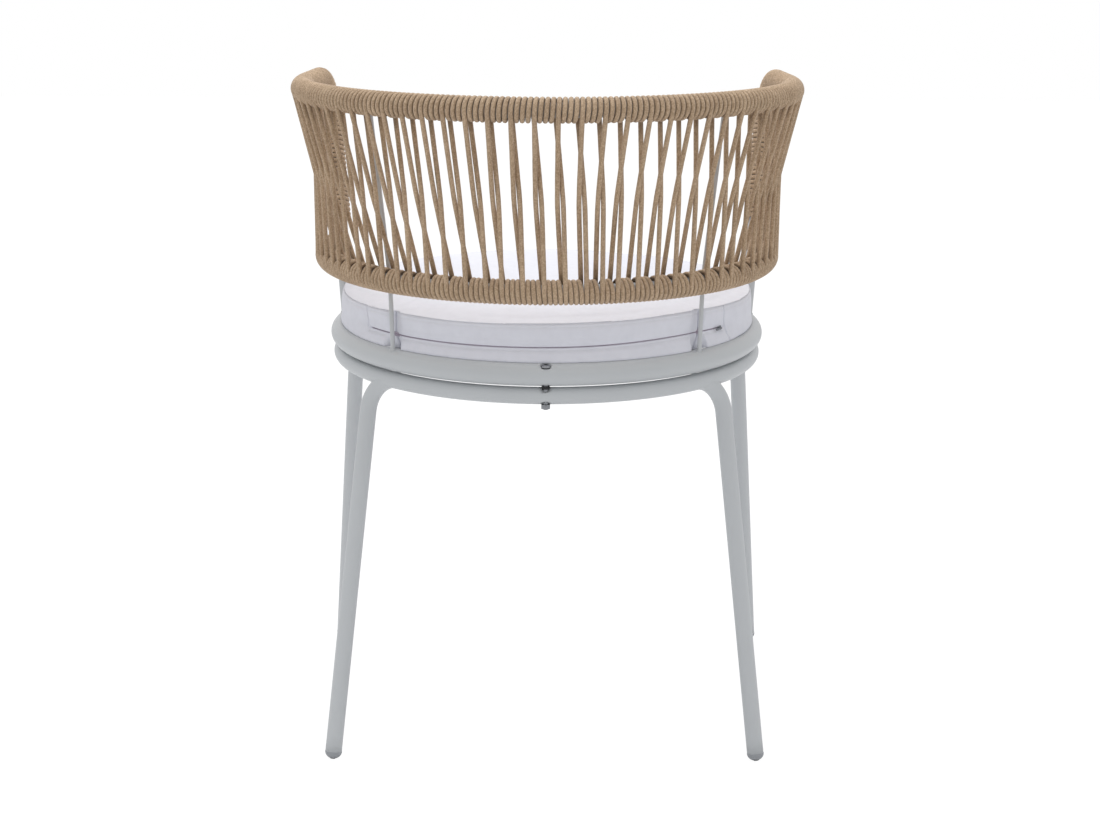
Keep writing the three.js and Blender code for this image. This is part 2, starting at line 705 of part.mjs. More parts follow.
// The two rails by the distance along them from the middle of the back, positive towards -X
function topRailFrame(distance) {
  const arcLength = TOP_RAIL_R * ARM_TURN;
  const side = distance < 0 ? -1 : 1;
  const past = Math.max(Math.abs(distance) - arcLength, 0);
  const angle = side * Math.min(Math.abs(distance) / TOP_RAIL_R, ARM_TURN);
  const wide = new THREE.Vector3(-Math.cos(angle), -Math.sin(angle), 0);
  const place = onCircle(TOP_RAIL_R, angle, TOP_RAIL_Z).addScaledVector(wide, side * past);
  return { place, outward: onCircle(1, angle, 0), wide };
}

function lowerRailFrame(distance) {
  const angle = distance / LOWER_RAIL_R;
  const wide = new THREE.Vector3(-Math.cos(angle), -Math.sin(angle), 0);
  return { place: onCircle(LOWER_RAIL_R, angle, LOWER_RAIL_Z), outward: onCircle(1, angle, 0), wide };
}

// Lacing: at each station one strand leaves the top rail outside and ends inside the lower rail, and the
// other leaves inside and ends outside. A half turn over the top rail joins the two, and a half turn
// under the lower rail leads on to the next station, so a section is one unbroken rope.
const HALF_TURN_STEPS = 4;

function laceInnerR() {
  return (wrapInnerR(WRAP_FIT, LOOP_STEPS) + WRAP_T + FIT) / Math.cos(Math.PI / (2 * HALF_TURN_STEPS));
}

function laceR() {
  return laceInnerR() + LACE_T / 2;
}

// One ring of the rope: its middle, the way across it, the way through it, and half its thickness
function laceRing(middle, wide, through, halfThick) {
  const ring = [];
  for (const [a, b] of [[-1, -1], [-1, 1], [1, 1], [1, -1]]) {
    const point = middle.clone().addScaledVector(wide, (a * LACE_W) / 2);
    ring.push(point.addScaledVector(through, b * halfThick));
  }
  return ring;
}

// A ring where the rope lies on a rail, at an angle round it: 0 outside, a quarter turn on top
function railRing(frame, angle, sign) {
  const arm = frame.outward.clone().multiplyScalar(Math.cos(angle));
  arm.z += Math.sin(angle);
  const middle = frame.place.clone().addScaledVector(arm, laceR());
  return laceRing(middle, frame.wide, arm.multiplyScalar(sign), LACE_T / 2);
}

// From the inside of a rail to its outside: over the rail with sign 1, and under it with sign -1
function halfTurn(frameAt, from, to, sign, steps) {
  const rings = [];
  for (let i = 0; i <= steps; i += 1) {
    const share = i / HALF_TURN_STEPS;
    const angle = Math.PI * (1 - sign * share);
    rings.push(railRing(frameAt(from + (to - from) * share), angle, sign));
  }
  return rings;
}

// The ring half way along a free strand, bowed sideways
function strandRing(top, low, side, bow) {
  const outward = top.outward.clone().add(low.outward).normalize();
  const wide = top.wide.clone().add(low.wide).normalize();
  const start = top.place.clone().addScaledVector(top.outward, side * laceR());
  const end = low.place.clone().addScaledVector(low.outward, -side * laceR());
  const middle = start.lerp(end, 1 / 2).addScaledVector(wide, bow);
  return laceRing(middle, wide, outward.multiplyScalar(side), STRAND_T / 2);
}

// How far each strand bows for the two to pass side by side. They are at one depth for a share of the
// way from their middles to their ends, and that far up they still have to lie apart.
function strandBow() {
  const topStep = INNER_STRAND_TOP_SHIFT - OUTER_STRAND_TOP_SHIFT;
  const lowStep = INNER_STRAND_LOW_SHIFT - OUTER_STRAND_LOW_SHIFT;
  const levelShare = STRAND_T / (2 * laceR());
  const apart = (LACE_W + STRAND_GAP - topStep * levelShare) / (1 - levelShare);
  return (apart - (topStep + lowStep) / 2) / 2;
}

// The least gap between the two strands of a station, measured on points along them
function leastStrandGap() {
  const topStep = INNER_STRAND_TOP_SHIFT - OUTER_STRAND_TOP_SHIFT;
  const lowStep = INNER_STRAND_LOW_SHIFT - OUTER_STRAND_LOW_SHIFT;
  const middleStep = (topStep + lowStep) / 2 + 2 * strandBow();
  const points = 100;
  let least = Infinity;
  for (let i = -points; i <= points; i += 1) {
    const share = Math.abs(i) / points;
    const across = Math.abs(middleStep + ((i < 0 ? topStep : lowStep) - middleStep) * share) - LACE_W;
    const through = 2 * laceR() * share - STRAND_T + (STRAND_T - LACE_T) * share;
    least = Math.min(least, Math.max(across, through));
  }
  return least;
}

// As many stations as both rails have room for, between the arms' corners and between the posts
function stationCount() {
  const armEnd = hoopCorner(1).at(-1);
  const armLength = armEnd.distanceTo(hoopPlaces(1).armStart);
  const topRoom = TOP_RAIL_R * ARM_TURN + armLength - LACE_W / 2 - FIT;
  const lowRoom = lowerRailAngle() * LOWER_RAIL_R - BACK_TUBE_D / 2 - INNER_STRAND_LOW_SHIFT - LACE_W / 2 - FIT;
  return 1 + Math.floor(2 * Math.min(topRoom / STATION_PITCH, lowRoom / LOWER_STATION_PITCH));
}

const STATION_COUNT = stationCount();

// Each section has the same number, and any over go one by one to the sections from the arms inwards
function sectionStations(section) {
  const share = Math.floor(STATION_COUNT / SECTION_COUNT);
  const over = STATION_COUNT - share * SECTION_COUNT;
  const fromEnd = Math.min(section, SECTION_COUNT - 1 - section);
  const turn = 2 * fromEnd + (section === fromEnd ? 0 : 1);
  return share + (turn < over ? 1 : 0);
}

function laceRope(first, count) {
  const rings = [];
  const bow = strandBow();
  for (let station = first + count - 1; station >= first; station -= 1) {
    const place = station - (STATION_COUNT - 1) / 2;
    const innerTop = place * STATION_PITCH + INNER_STRAND_TOP_SHIFT;
    const outerTop = place * STATION_PITCH + OUTER_STRAND_TOP_SHIFT;
    const innerLow = place * LOWER_STATION_PITCH + INNER_STRAND_LOW_SHIFT;
    const outerLow = place * LOWER_STATION_PITCH + OUTER_STRAND_LOW_SHIFT;
    if (station === first + count - 1) {
      rings.push(railRing(lowerRailFrame(innerLow), 0, -1));
    }
    rings.push(strandRing(topRailFrame(innerTop), lowerRailFrame(innerLow), -1, bow));
    rings.push(...halfTurn(topRailFrame, innerTop, outerTop, 1, HALF_TURN_STEPS));
    rings.push(strandRing(topRailFrame(outerTop), lowerRailFrame(outerLow), 1, -bow));
    // The section's last half turn stops short of where the next section's rope starts
    const steps = station === first ? HALF_TURN_STEPS - 1 : HALF_TURN_STEPS;
    rings.push(...halfTurn(lowerRailFrame, outerLow, innerLow - LOWER_STATION_PITCH, -1, steps));
  }
  return rings;
}

function makeLacing() {
  console.log(`back_lacing: least gap between strands ${leastStrandGap().toFixed(2)} mm`);
  let first = 0;
  for (let i = 0; i < SECTION_COUNT; i += 1) {
    const count = sectionStations(i);
    add(`back_lacing_${i + 1}`, skin(laceRope(first, count)), rope);
    first += count;
  }
}

// Cushion: a round box cushion with a crowned top, drawn-in sides and a sunk seam round each edge.
// It fills the seat ring, and stays inside the back rods where they pass its upper seam.
const SEAM_LOW_Z = SLAT_TOP_Z + FIT + CUSHION_BELLY;
const SEAM_TOP_Z = SEAM_LOW_Z + CUSHION_EDGE_H;

function insideRods() {
  const [foot, waist] = rodPlaces(1);
  const passing = foot.clone().lerp(waist, (SEAM_TOP_Z - foot.z) / (waist.z - foot.z));
  return Math.hypot(passing.x, passing.y) - ROD_D / 2 - CUSHION_ROD_GAP;
}

const CUSHION_R = Math.min(RING_R - CUSHION_INSET, insideRods());

function cushionProfile() {
  const bottom = SLAT_TOP_Z + FIT;
  const seamLow = SEAM_LOW_Z;
  const seamTop = SEAM_TOP_Z;
  const rim = CUSHION_R - CUSHION_SIDE_DRAW;
  const points = [new THREE.Vector2(0, bottom)];
  points.push(new THREE.Vector2(rim - SEAM_W, bottom));
  points.push(new THREE.Vector2(rim - SEAM_DEPTH, seamLow + SEAM_W / 4));
  points.push(new THREE.Vector2(rim, seamLow + SEAM_W));
  for (const share of SIDE_SHARES) {
    const swell = CUSHION_SIDE_DRAW * Math.sin(Math.PI * share);
    points.push(new THREE.Vector2(rim + swell, seamLow + CUSHION_EDGE_H * share));
  }
  points.push(new THREE.Vector2(rim, seamTop - SEAM_W));
  points.push(new THREE.Vector2(rim - SEAM_DEPTH, seamTop));
  points.push(new THREE.Vector2(rim - SEAM_W / 2, seamTop + SEAM_W));
  for (const share of TOP_SHARES) {
    const rise = (CUSHION_CROWN - SEAM_W) * (1 - share ** 3);
    points.push(new THREE.Vector2(rim * share, seamTop + SEAM_W + rise));
  }
  points.push(new THREE.Vector2(0, seamTop + CUSHION_CROWN));
  return points;
}

function makeCushion() {
  const reach = ZIP_ANGLE + LOOSE_FIT / CUSHION_R;
  const height = ZIP_H + 2 * LOOSE_FIT;
  const innerR = CUSHION_R - ZIP_SINK;
  const groove = arcStrip(innerR, ZIP_SINK + OVERRUN, height, zipHeight(), -reach, reach, ZIP_SEGMENTS);
  add("cushion", carve(lathe(cushionProfile(), CUSHION_SEGMENTS), [groove]), cushionCloth);
}

// Zip: a tape and teeth in an arc along the back of the cushion, its slider and the slider's pull
function zipHeight() {
  return SEAM_LOW_Z + CUSHION_EDGE_H * ZIP_RISE_SHARE;
}

function arcStrip(innerR, thickness, height, z, from, to, segments) {
  const shape = new THREE.Shape();
  const points = [];
  for (let i = 0; i <= segments; i += 1) {
    const angle = from + ((to - from) * i) / segments;
    points.push(new THREE.Vector2(-innerR * Math.sin(angle), innerR * Math.cos(angle)));
  }
  for (let i = segments; i >= 0; i -= 1) {
    const angle = from + ((to - from) * i) / segments;
    const outerR = innerR + thickness;
    points.push(new THREE.Vector2(-outerR * Math.sin(angle), outerR * Math.cos(angle)));
  }
  shape.setFromPoints(points);
  const geometry = new THREE.ExtrudeGeometry(shape, { depth: height, bevelEnabled: false });
  geometry.translate(0, 0, z - height / 2);
  return geometry;
}

function makeZip() {
  const z = zipHeight();
  const tapeR = CUSHION_R - ZIP_SINK + FIT;
  add("zip_tape", arcStrip(tapeR, ZIP_T, ZIP_H, z, -ZIP_ANGLE, ZIP_ANGLE, ZIP_SEGMENTS), zipTape);

  // The slider stands at the end of the zip on the -X side, just clear of the cushion's side
  const half = SLIDER_L / 2 / CUSHION_R;
  const place = ZIP_ANGLE - half;
  const sliderR = CUSHION_R + FIT;
  const earH = (SLIDER_H - PULL_H) / 2 - FIT;
  const eyeR = PULL_PIN_D / 2 + FIT;
  const eyeOuterR = eyeR + PULL_T;
  const pinR = sliderR + SLIDER_T + FIT + eyeOuterR;
  const parts = [arcStrip(sliderR, SLIDER_T, SLIDER_H, z, place - half, place + half, 2)];
  const earL = pinR - sliderR;
  for (const sign of [-1, 1]) {
    const ear = new THREE.BoxGeometry(2 * PULL_PIN_D, earL, earH);
    ear.translate(0, sliderR + SLIDER_T / 2 + earL / 2, z + (sign * (SLIDER_H - earH)) / 2);
    parts.push(ear.rotateZ(place));
  }
  const pin = onCircle(pinR, place, z);
  parts.push(post(pin.x, pin.y, z - SLIDER_H / 2, SLIDER_H, PULL_PIN_D, 8));
  add("zip_slider", join(parts), zipMetal);

  // The pull lies back along the zip from its pin
  const sides = 8;
  const eye = new THREE.CylinderGeometry(eyeOuterR, eyeOuterR, PULL_H, sides).rotateX(Math.PI / 2);
  const tab = new THREE.BoxGeometry(PULL_L - eyeR, PULL_T, PULL_H).translate((PULL_L + eyeR) / 2, 0, 0);
  const bore = new THREE.CylinderGeometry(1, 1, 1, sides).rotateX(Math.PI / 2);
  bore.scale(eyeR / Math.cos(Math.PI / sides), eyeR / Math.cos(Math.PI / sides), PULL_H + OVERRUN);
  const pull = add("zip_pull", carve(join([eye, tab]), [bore]), zipMetal);
  pull.position.copy(pin);
  pull.rotation.z = place;
}

makeRings();
makeFasteners();
makeLegs();
makeSlats();
makeHoop();
makeLowerRail();
makeRods();
makeWraps();
makeLacing();
makeCushion();
makeZip();
// The origin lies under the middle of the chair's depth, which runs from the ring to the lacing
chair.position.y = (RING_R + SEAT_TUBE_D / 2 - TOP_RAIL_R - laceR() - LACE_T / 2) / 2;

export default chair;
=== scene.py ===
import math

import bmesh
import bpy
import numpy as np
from bpy.props import FloatProperty, FloatVectorProperty, IntProperty, PointerProperty
from mathutils import Matrix, Vector


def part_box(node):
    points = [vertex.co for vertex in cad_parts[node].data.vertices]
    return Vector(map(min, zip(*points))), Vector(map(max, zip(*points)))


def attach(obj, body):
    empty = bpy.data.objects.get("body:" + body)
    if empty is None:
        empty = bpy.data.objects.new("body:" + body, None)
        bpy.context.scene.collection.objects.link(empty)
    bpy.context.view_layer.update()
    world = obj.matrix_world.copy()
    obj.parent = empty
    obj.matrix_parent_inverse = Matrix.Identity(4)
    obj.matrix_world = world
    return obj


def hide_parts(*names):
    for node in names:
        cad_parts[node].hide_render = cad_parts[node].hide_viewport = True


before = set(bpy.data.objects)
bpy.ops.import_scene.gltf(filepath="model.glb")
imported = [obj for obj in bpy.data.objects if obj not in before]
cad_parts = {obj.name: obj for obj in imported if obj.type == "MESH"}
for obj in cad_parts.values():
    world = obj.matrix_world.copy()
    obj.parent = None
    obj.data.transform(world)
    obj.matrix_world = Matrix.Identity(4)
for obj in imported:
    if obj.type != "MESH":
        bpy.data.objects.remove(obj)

bl_info = {
    "name": "Rope-backed armchair",
    "version": (1, 0, 0),
    "blender": (4, 5, 0),
    "location": "3D View > Sidebar > Armchair",
    "description": "Builds the pieces and finishes of a rope-backed patio armchair round its packed frame",
    "category": "Object",
}

MM = 0.001

# The stage: each lamp's name, place, watts and width in metres, the light from all round, the floor,
# and the photograph's camera, whose place is given from the seat's axis
LAMPS = (("lamp_above", (0.2, -0.1, 3.2), 28.0, 1.6), ("lamp_front", (0.4, -1.7, 2.4), 20.0, 1.6))
LAMP_AIM = (0.0, 0.0, 0.45)
WORLD_STRENGTH = 0.74
WORLD_COLOUR = (0.98, 0.985, 1.0, 1)
FLOOR_SEEN_WHITE = 0.86
FLOOR_WHITE = 1.1
FLOOR_COLOUR = (0.9, 0.9, 0.9, 1)
FLOOR_HALF = 8.0
FLOOR_DROP = 0.4 * MM
SENSOR_WIDTH = 36.0
PHOTO_WIDTH = 1100.0
FOCAL_LENGTH = 1861.38
CAMERA_PLACE = (-6.57 * MM, 2201.5 * MM, 930.5 * MM)
CAMERA_CLIP = (0.05, 50.0)
CAMERA_YAW, CAMERA_PITCH, CAMERA_ROLL = 0.00095, 0.25771, 0.00443

# The seat's upright axis, about which the rings, rails and cushion are round
AXIS_Y = sum(corner.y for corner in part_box("seat_ring")) / 2


# Sizes and colours


def linear(hex_colour):
    """sRGB hex to linear RGB: below 0.04045 a channel is divided by 12.92, above it is ((c + 0.055) / 1.055)
    ** 2.4."""
    channels = np.array([int(hex_colour[i : i + 2], 16) / 255 for i in (1, 3, 5)])
    low, high = channels / 12.92, ((channels + 0.055) / 1.055) ** 2.4
    return tuple(float(c) for c in np.where(channels <= 0.04045, low, high))


def length(name, description, millimetres):
    """A size setting, given in millimetres and kept in metres."""
    return FloatProperty(name=name, description=description, default=millimetres * MM, unit="LENGTH")


def colour(name, description, hex_colour):
    """A colour setting, given as sRGB hex and kept linear."""
    return FloatVectorProperty(
        name=name, description=description, default=linear(hex_colour), size=3, subtype="COLOR", min=0, max=1
    )


class FrameSizes(bpy.types.PropertyGroup):
    """Sizes of the steel frame."""

    ring_radius: length("Ring radius", "Centre line radius of the seat ring and the leg ring", 246)
    seat_tube: length("Seat tube", "Diameter of the seat ring's tube", 25)
    leg_tube: length("Leg tube", "Diameter of the legs and the leg ring", 19)
    back_tube: length("Back tube", "Diameter of the back hoop and the lower rail", 16)
    rod: length("Rod", "Diameter of the two back rods", 5)
    weld_bead: length("Weld bead", "Radius of the weld bead round a joint", 1.1)


class RopeSizes(bpy.types.PropertyGroup):
    """Sizes of the rope and of its turns."""

    rope: length("Rope", "Diameter of the rope", 6)
    wound: length("Wound rope", "Diameter of the rope where it is wound and pressed", 5.6)
    pulled: length("Pulled rope", "Diameter of the rope in a strand, where it is pulled thin", 5.35)
    top_pitch: length("Top turns", "From one turn to the next along the top rail", 5.9)
    lower_pitch: length("Lower turns", "From one turn to the next along the lower rail", 5.4)
    bow: length("Bow", "How far each strand bows aside where two pass", 2.9)
    turn_steps: IntProperty(
        name="Steps in a turn", description="Rings of the rope in one turn", default=28, min=12
    )
    sides: IntProperty(name="Rope sides", description="Sides of the rope", default=12, min=6)


class CushionSizes(bpy.types.PropertyGroup):
    """Sizes of the cushion and its zip."""

    back_radius: length("Back radius", "Radius of the side at the zip", 240.6)
    swell_radius: length("Swell radius", "Radius of the side where nothing holds it in", 246.9)
    crown: length("Crown", "Rise of the top above its seam", 12.4)
    crown_power: FloatProperty(
        name="Crown power", description="The higher, the flatter the top", default=3.4, min=1
    )
    seam_depth: length("Seam depth", "How far a seam is sunk", 1.1)
    swell_cap: length("Swell cap", "The most that a point may move as the cushion is filled", 6)
    zip_half_angle: FloatProperty(
        name="Zip half angle",
        description="The zip runs this far round on each side",
        default=math.radians(56),
        subtype="ANGLE",
    )
    columns: IntProperty(name="Columns", description="Points round the cushion", default=590, min=60)


class ChairColours(bpy.types.PropertyGroup):
    """Colours of the finishes."""

    powder: colour("Powder coat", "Colour of the steel frame", "#C0C3C5")
    caps: colour("Foot caps", "Colour of the foot caps", "#9A9DA1")
    zinc: colour("Zinc", "Colour of the screws and nuts", "#94969A")
    # Painted shade: the dark colour given to the screws' sockets and their heads' sides, where shade falls
    zinc_painted_shade: colour("Dark zinc", "Colour of the screws' sockets and sides", "#2E3032")
    rubber: colour("Rubber", "Colour of the washers", "#19191A")
    rope_light: colour("Rope, light yarn", "Colour of the rope's lighter yarn", "#EACFAE")
    rope_dark: colour("Rope, dark yarn", "Colour of the rope's darker yarn", "#8A6E51")
    cushion: colour("Cushion cloth", "Colour of the cushion's cloth", "#E0E1E9")
    tape: colour("Zip tape", "Colour of the zip's tape", "#B9AFBD")
    coil: colour("Zip coil", "Colour of the zip's nylon coil", "#B3A6B6")
    zip_metal: colour("Zip metal", "Colour of the zip's slider and pull", "#77797E")


# Shapes


def on_circle(radius, angle, z):
    """Points on a level circle about the seat's axis: x = -radius sin(angle), y = axis + radius
    cos(angle)."""
    radius, angle, z = np.broadcast_arrays(radius, angle, z)
    return np.stack([-radius * np.sin(angle), AXIS_Y + radius * np.cos(angle), z], -1).astype(float)


def unit(vectors):
    """Each vector divided by its own length."""
    return vectors / np.linalg.norm(vectors, axis=-1, keepdims=True)


def resample(points, spacing):
    """Points at even distances along a polyline: each coordinate is interpolated over the running length."""
    run = np.concatenate([[0], np.cumsum(np.linalg.norm(np.diff(points, axis=0), axis=1))])
    at = np.linspace(0, run[-1], max(2, int(round(run[-1] / spacing)) + 1))
    return np.stack([np.interp(at, run, points[:, k]) for k in range(3)], -1)


def rounded_corner(a, b, c, radius, steps=24):
    """The arc of a radius that touches the lines a-b and b-c: its middle lies on the bisector at radius /
    sin(half angle)."""
    back, forth = unit(a - b), unit(c - b)
    half = math.acos(float(back @ forth)) / 2
    middle = b + unit(back + forth) * radius / math.sin(half)
    start = b + back * radius / math.tan(half) - middle
    end = b + forth * radius / math.tan(half) - middle
    across = unit(end - start * (end @ start) / (start @ start)) * radius
    turn = np.linspace(0, math.pi - 2 * half, steps)[:, None]
    return middle + start * np.cos(turn) + across * np.sin(turn)


def carried_frame(path, guide):
    """Directions along a path and two across it: the guide less its part along the path, and their cross
    product."""
    along = unit(np.gradient(path, axis=0))
    normal = unit(guide - along * (guide * along).sum(-1, keepdims=True))
    return along, normal, np.cross(along, normal)


def grid_faces(rows, columns, close_rows=False, close_columns=False):
    """Quads between neighbours of a rows x columns grid of vertices, and each corner's place in the grid,
    uncut at a closed seam."""
    r = np.arange(rows if close_rows else rows - 1)
    c = np.arange(columns if close_columns else columns - 1)
    r, c = (k.ravel() for k in np.meshgrid(r, c, indexing="ij"))
    row, column = np.stack([r, r, r + 1, r + 1], -1), np.stack([c, c + 1, c + 1, c], -1)
    return (row % rows) * columns + column % columns, row, column


def new_piece(name, points, faces, slot, body, corners=None, ends=(), look=None):
    """A mesh from whole arrays. Corners gives each quad corner's two map coordinates, and ends are faces of
    any number of corners. Look names the finish where it is not the slot's own."""
    mesh = bpy.data.meshes.new(name)
    points = np.asarray(points, np.float32).reshape(-1, 3)
    loops = np.concatenate([faces.ravel(), *[np.asarray(e) for e in ends]]).astype(np.int32)
    counts = np.concatenate([np.full(len(faces), faces.shape[1]), [len(e) for e in ends]]).astype(np.int32)
    starts = np.concatenate([[0], np.cumsum(counts)[:-1]]).astype(np.int32)
    mesh.vertices.add(len(points))
    mesh.vertices.foreach_set("co", points.ravel())
    mesh.loops.add(len(loops))
    mesh.loops.foreach_set("vertex_index", loops)
    mesh.polygons.add(len(counts))
    mesh.polygons.foreach_set("loop_start", starts)
    mesh.polygons.foreach_set("use_smooth", np.ones(len(counts), bool))
    mesh.update(calc_edges=True)
    mesh.validate()
    if corners is not None:
        uv = np.zeros((len(loops), 2), np.float32)
        uv[: faces.size] = corners.reshape(-1, 2)
        mesh.uv_layers.new(name="pattern").data.foreach_set("uv", uv.ravel())
    face_out(mesh)
    mesh.materials.append(finish(look or slot))
    piece = bpy.data.objects.new(name, mesh)
    bpy.context.scene.collection.objects.link(piece)
    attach(piece, body)
    return piece


def face_out(mesh):
    """Turns every face of a closed mesh outwards."""
    work = bmesh.new()
    work.from_mesh(mesh)
    bmesh.ops.recalc_face_normals(work, faces=work.faces)
    work.to_mesh(mesh)
    work.free()


def tube(name, path, guide, radius, sides, slot, closed=False, body="frame", look=None):
    """A circle carried along a path: path + radius (normal cos(turn) + binormal sin(turn)), with a flat face
    on each open end."""
    along, normal, across = carried_frame(path, guide)
    if closed:
        along = unit(np.roll(path, -1, 0) - np.roll(path, 1, 0))
        normal = unit(guide - along * (guide * along).sum(-1, keepdims=True))
        across = np.cross(along, normal)
    turn = np.linspace(0, 2 * math.pi, sides, endpoint=False)[None, :, None]
    radius = np.broadcast_to(np.asarray(radius, float), (len(path),))[:, None, None]
    points = path[:, None] + radius * (normal[:, None] * np.cos(turn) + across[:, None] * np.sin(turn))
    faces, row, column = grid_faces(len(path), sides, closed, True)
    run = np.concatenate([[0], np.cumsum(np.linalg.norm(np.diff(path, axis=0), axis=1))])
    run = np.append(run, 2 * run[-1] - run[-2])
    corners = np.stack([column / sides, run[row]], -1)
    ends = [] if closed else [np.arange(sides)[::-1], (len(path) - 1) * sides + np.arange(sides)]
    return new_piece(name, points, faces, slot, body, corners, ends, look)


def turned(name, profile, place, axis, sides, slot, outline=None):
    """A profile of (radius, height) pairs turned about an axis. Outline, if given, holds a factor for each
    radius and turn angle, as for a hexagon."""
    axis = unit(np.asarray(axis, float))
    side = unit(np.cross(axis, [0.0, 1.0, 0.0] if abs(axis[1]) < 0.9 else [1.0, 0.0, 0.0]))
    other = np.cross(axis, side)
    turn = np.linspace(0, 2 * math.pi, sides, endpoint=False)
    profile = np.asarray(profile, float)
    radius = profile[:, 0:1] * (np.ones((len(profile), sides)) if outline is None else outline)
    ring = side * np.cos(turn)[:, None] + other * np.sin(turn)[:, None]
    points = np.asarray(place) + radius[..., None] * ring[None] + profile[:, 1, None, None] * axis
    faces, _, _ = grid_faces(len(profile), sides, False, True)
    ends = [np.arange(sides)[::-1], (len(profile) - 1) * sides + np.arange(sides)]
    return new_piece(name, points, faces, slot, "frame", None, ends)


def rounded(profile, radius, steps=4):
    """A (radius, height) profile with each inner corner cut by a quadratic curve that starts and ends a
    radius from it."""
    p = np.asarray(profile, float)
    before, here, after = p[:-2], p[1:-1], p[2:]

    def toward(other):
        """A place a radius away from each corner on the line to its neighbour, or nearly half way if that is
        nearer."""
        away = other - here
        return here + unit(away) * np.minimum(radius, np.linalg.norm(away, axis=1, keepdims=True) / 2.2)

    a, b = toward(before), toward(after)
    t = np.linspace(0, 1, steps + 1)[None, :, None]
    curve = a[:, None] * (1 - t) ** 2 + 2 * here[:, None] * t * (1 - t) + b[:, None] * t**2
    return np.concatenate([p[:1], curve.reshape(-1, 2), p[-1:]])


def read_points(piece):
    """The places of a piece's vertices, as an array."""
    points = np.zeros(len(piece.data.vertices) * 3, np.float32)
    piece.data.vertices.foreach_get("co", points)
    return points.reshape(-1, 3).astype(float)


def write_points(piece, points):
    """Moves a piece's vertices to the places in an array."""
    piece.data.vertices.foreach_set("co", points.astype(np.float32).ravel())
    piece.data.update()


def cut_away(piece, cutters):
    """Takes closed cutter meshes off a piece with a Boolean modifier, and applies it."""
    for cutter in cutters:
        cut = piece.modifiers.new("cut", "BOOLEAN")
        cut.operation, cut.solver, cut.object = "DIFFERENCE", "EXACT", cutter
    apply_modifiers(piece)
    for cutter in cutters:
        bpy.data.objects.remove(cutter)


def apply_modifiers(piece):
    """Puts the evaluated mesh in place of the piece's own, and clears its modifiers."""
    bpy.context.view_layer.update()
    shown = piece.evaluated_get(bpy.context.evaluated_depsgraph_get())
    mesh = bpy.data.meshes.new_from_object(shown)
    piece.modifiers.clear()
    old, piece.data = piece.data, mesh
    mesh.name = old.name + "_final"
    bpy.data.meshes.remove(old)


# Finishes


def add_node(tree, kind, inputs=None, **settings):
    """One shader node of a kind with its settings, and its sockets filled."""
    made = tree.nodes.new("ShaderNode" + kind)
    for key, value in settings.items():
        setattr(made, key, value)
    fill_sockets(tree, made, inputs or {})
    return made


def fill_sockets(tree, node, inputs):
    """Gives each socket, by name or number, its value, or a link from an output. A node stands for its first
    output."""
    for key, value in inputs.items():
        if isinstance(value, bpy.types.Node):
            value = value.outputs[0]
        if isinstance(value, bpy.types.NodeSocket):
            tree.links.new(value, node.inputs[key])
        else:
            node.inputs[key].default_value = value


def new_finish(name):
    """A material with an empty tree, and its output and shader."""
    material = bpy.data.materials.new(name)
    material.use_nodes = True
    tree = material.node_tree
    tree.nodes.clear()
    shader = add_node(tree, "BsdfPrincipled")
    add_node(tree, "OutputMaterial", {"Surface": shader})
    return material, tree, shader


def rgba(colour_value, scale=1.0):
    """A colour setting made lighter or darker, with alpha 1, for a socket."""
    return (*[min(1.0, c * scale) for c in colour_value], 1.0)


def mottled_finish(name, tint, noise, shades, gloss=None, bump=None, **sockets):
    """A finish whose colour runs between two shades of a tint with a noise in the object's space. Gloss is
    the shader's roughness where the noise is 0.3 and where it is 0.7. Bump is a strength, a height, and the
    settings of its own noise, or None where the same noise drives it."""
    material, tree, shader = new_finish(name)
    place = add_node(tree, "TexCoord").outputs["Object"]
    spots = add_node(tree, "TexNoise", {"Vector": place, **noise})
    ends = {0: spots, 6: rgba(tint, shades[0]), 7: rgba(tint, shades[1])}
    mix = add_node(tree, "Mix", ends, data_type="RGBA")
    fill_sockets(tree, shader, {"Base Color": mix.outputs[2], **sockets})
    if gloss:
        rough = add_node(tree, "MapRange", {0: spots, 1: 0.3, 2: 0.7, 3: gloss[0], 4: gloss[1]})
        fill_sockets(tree, shader, {"Roughness": rough})
    if bump:
        strength, height, own = bump
        grain = add_node(tree, "TexNoise", {"Vector": place, **own}) if own else spots
        relief = add_node(tree, "Bump", {"Strength": strength, "Distance": height, "Height": grain})
        fill_sockets(tree, shader, {"Normal": relief})
    return material


def powder_coated_steel():
    """Polyester powder coat baked on steel: satin, with a slight unevenness of tone and a faint orange peel
    about 2 mm from crest to crest."""
    tint = bpy.context.scene.chair_colours.powder
    noise = {"Scale": 14.0, "Detail": 3.0, "Roughness": 0.55}
    peel = (0.12, 0.08 * MM, {"Scale": 1 / (2.2 * MM), "Detail": 1.0, "Roughness": 0.4})
    return mottled_finish("powder_coated_steel", tint, noise, (0.96, 1.03), (0.38, 0.5), peel, IOR=1.5)


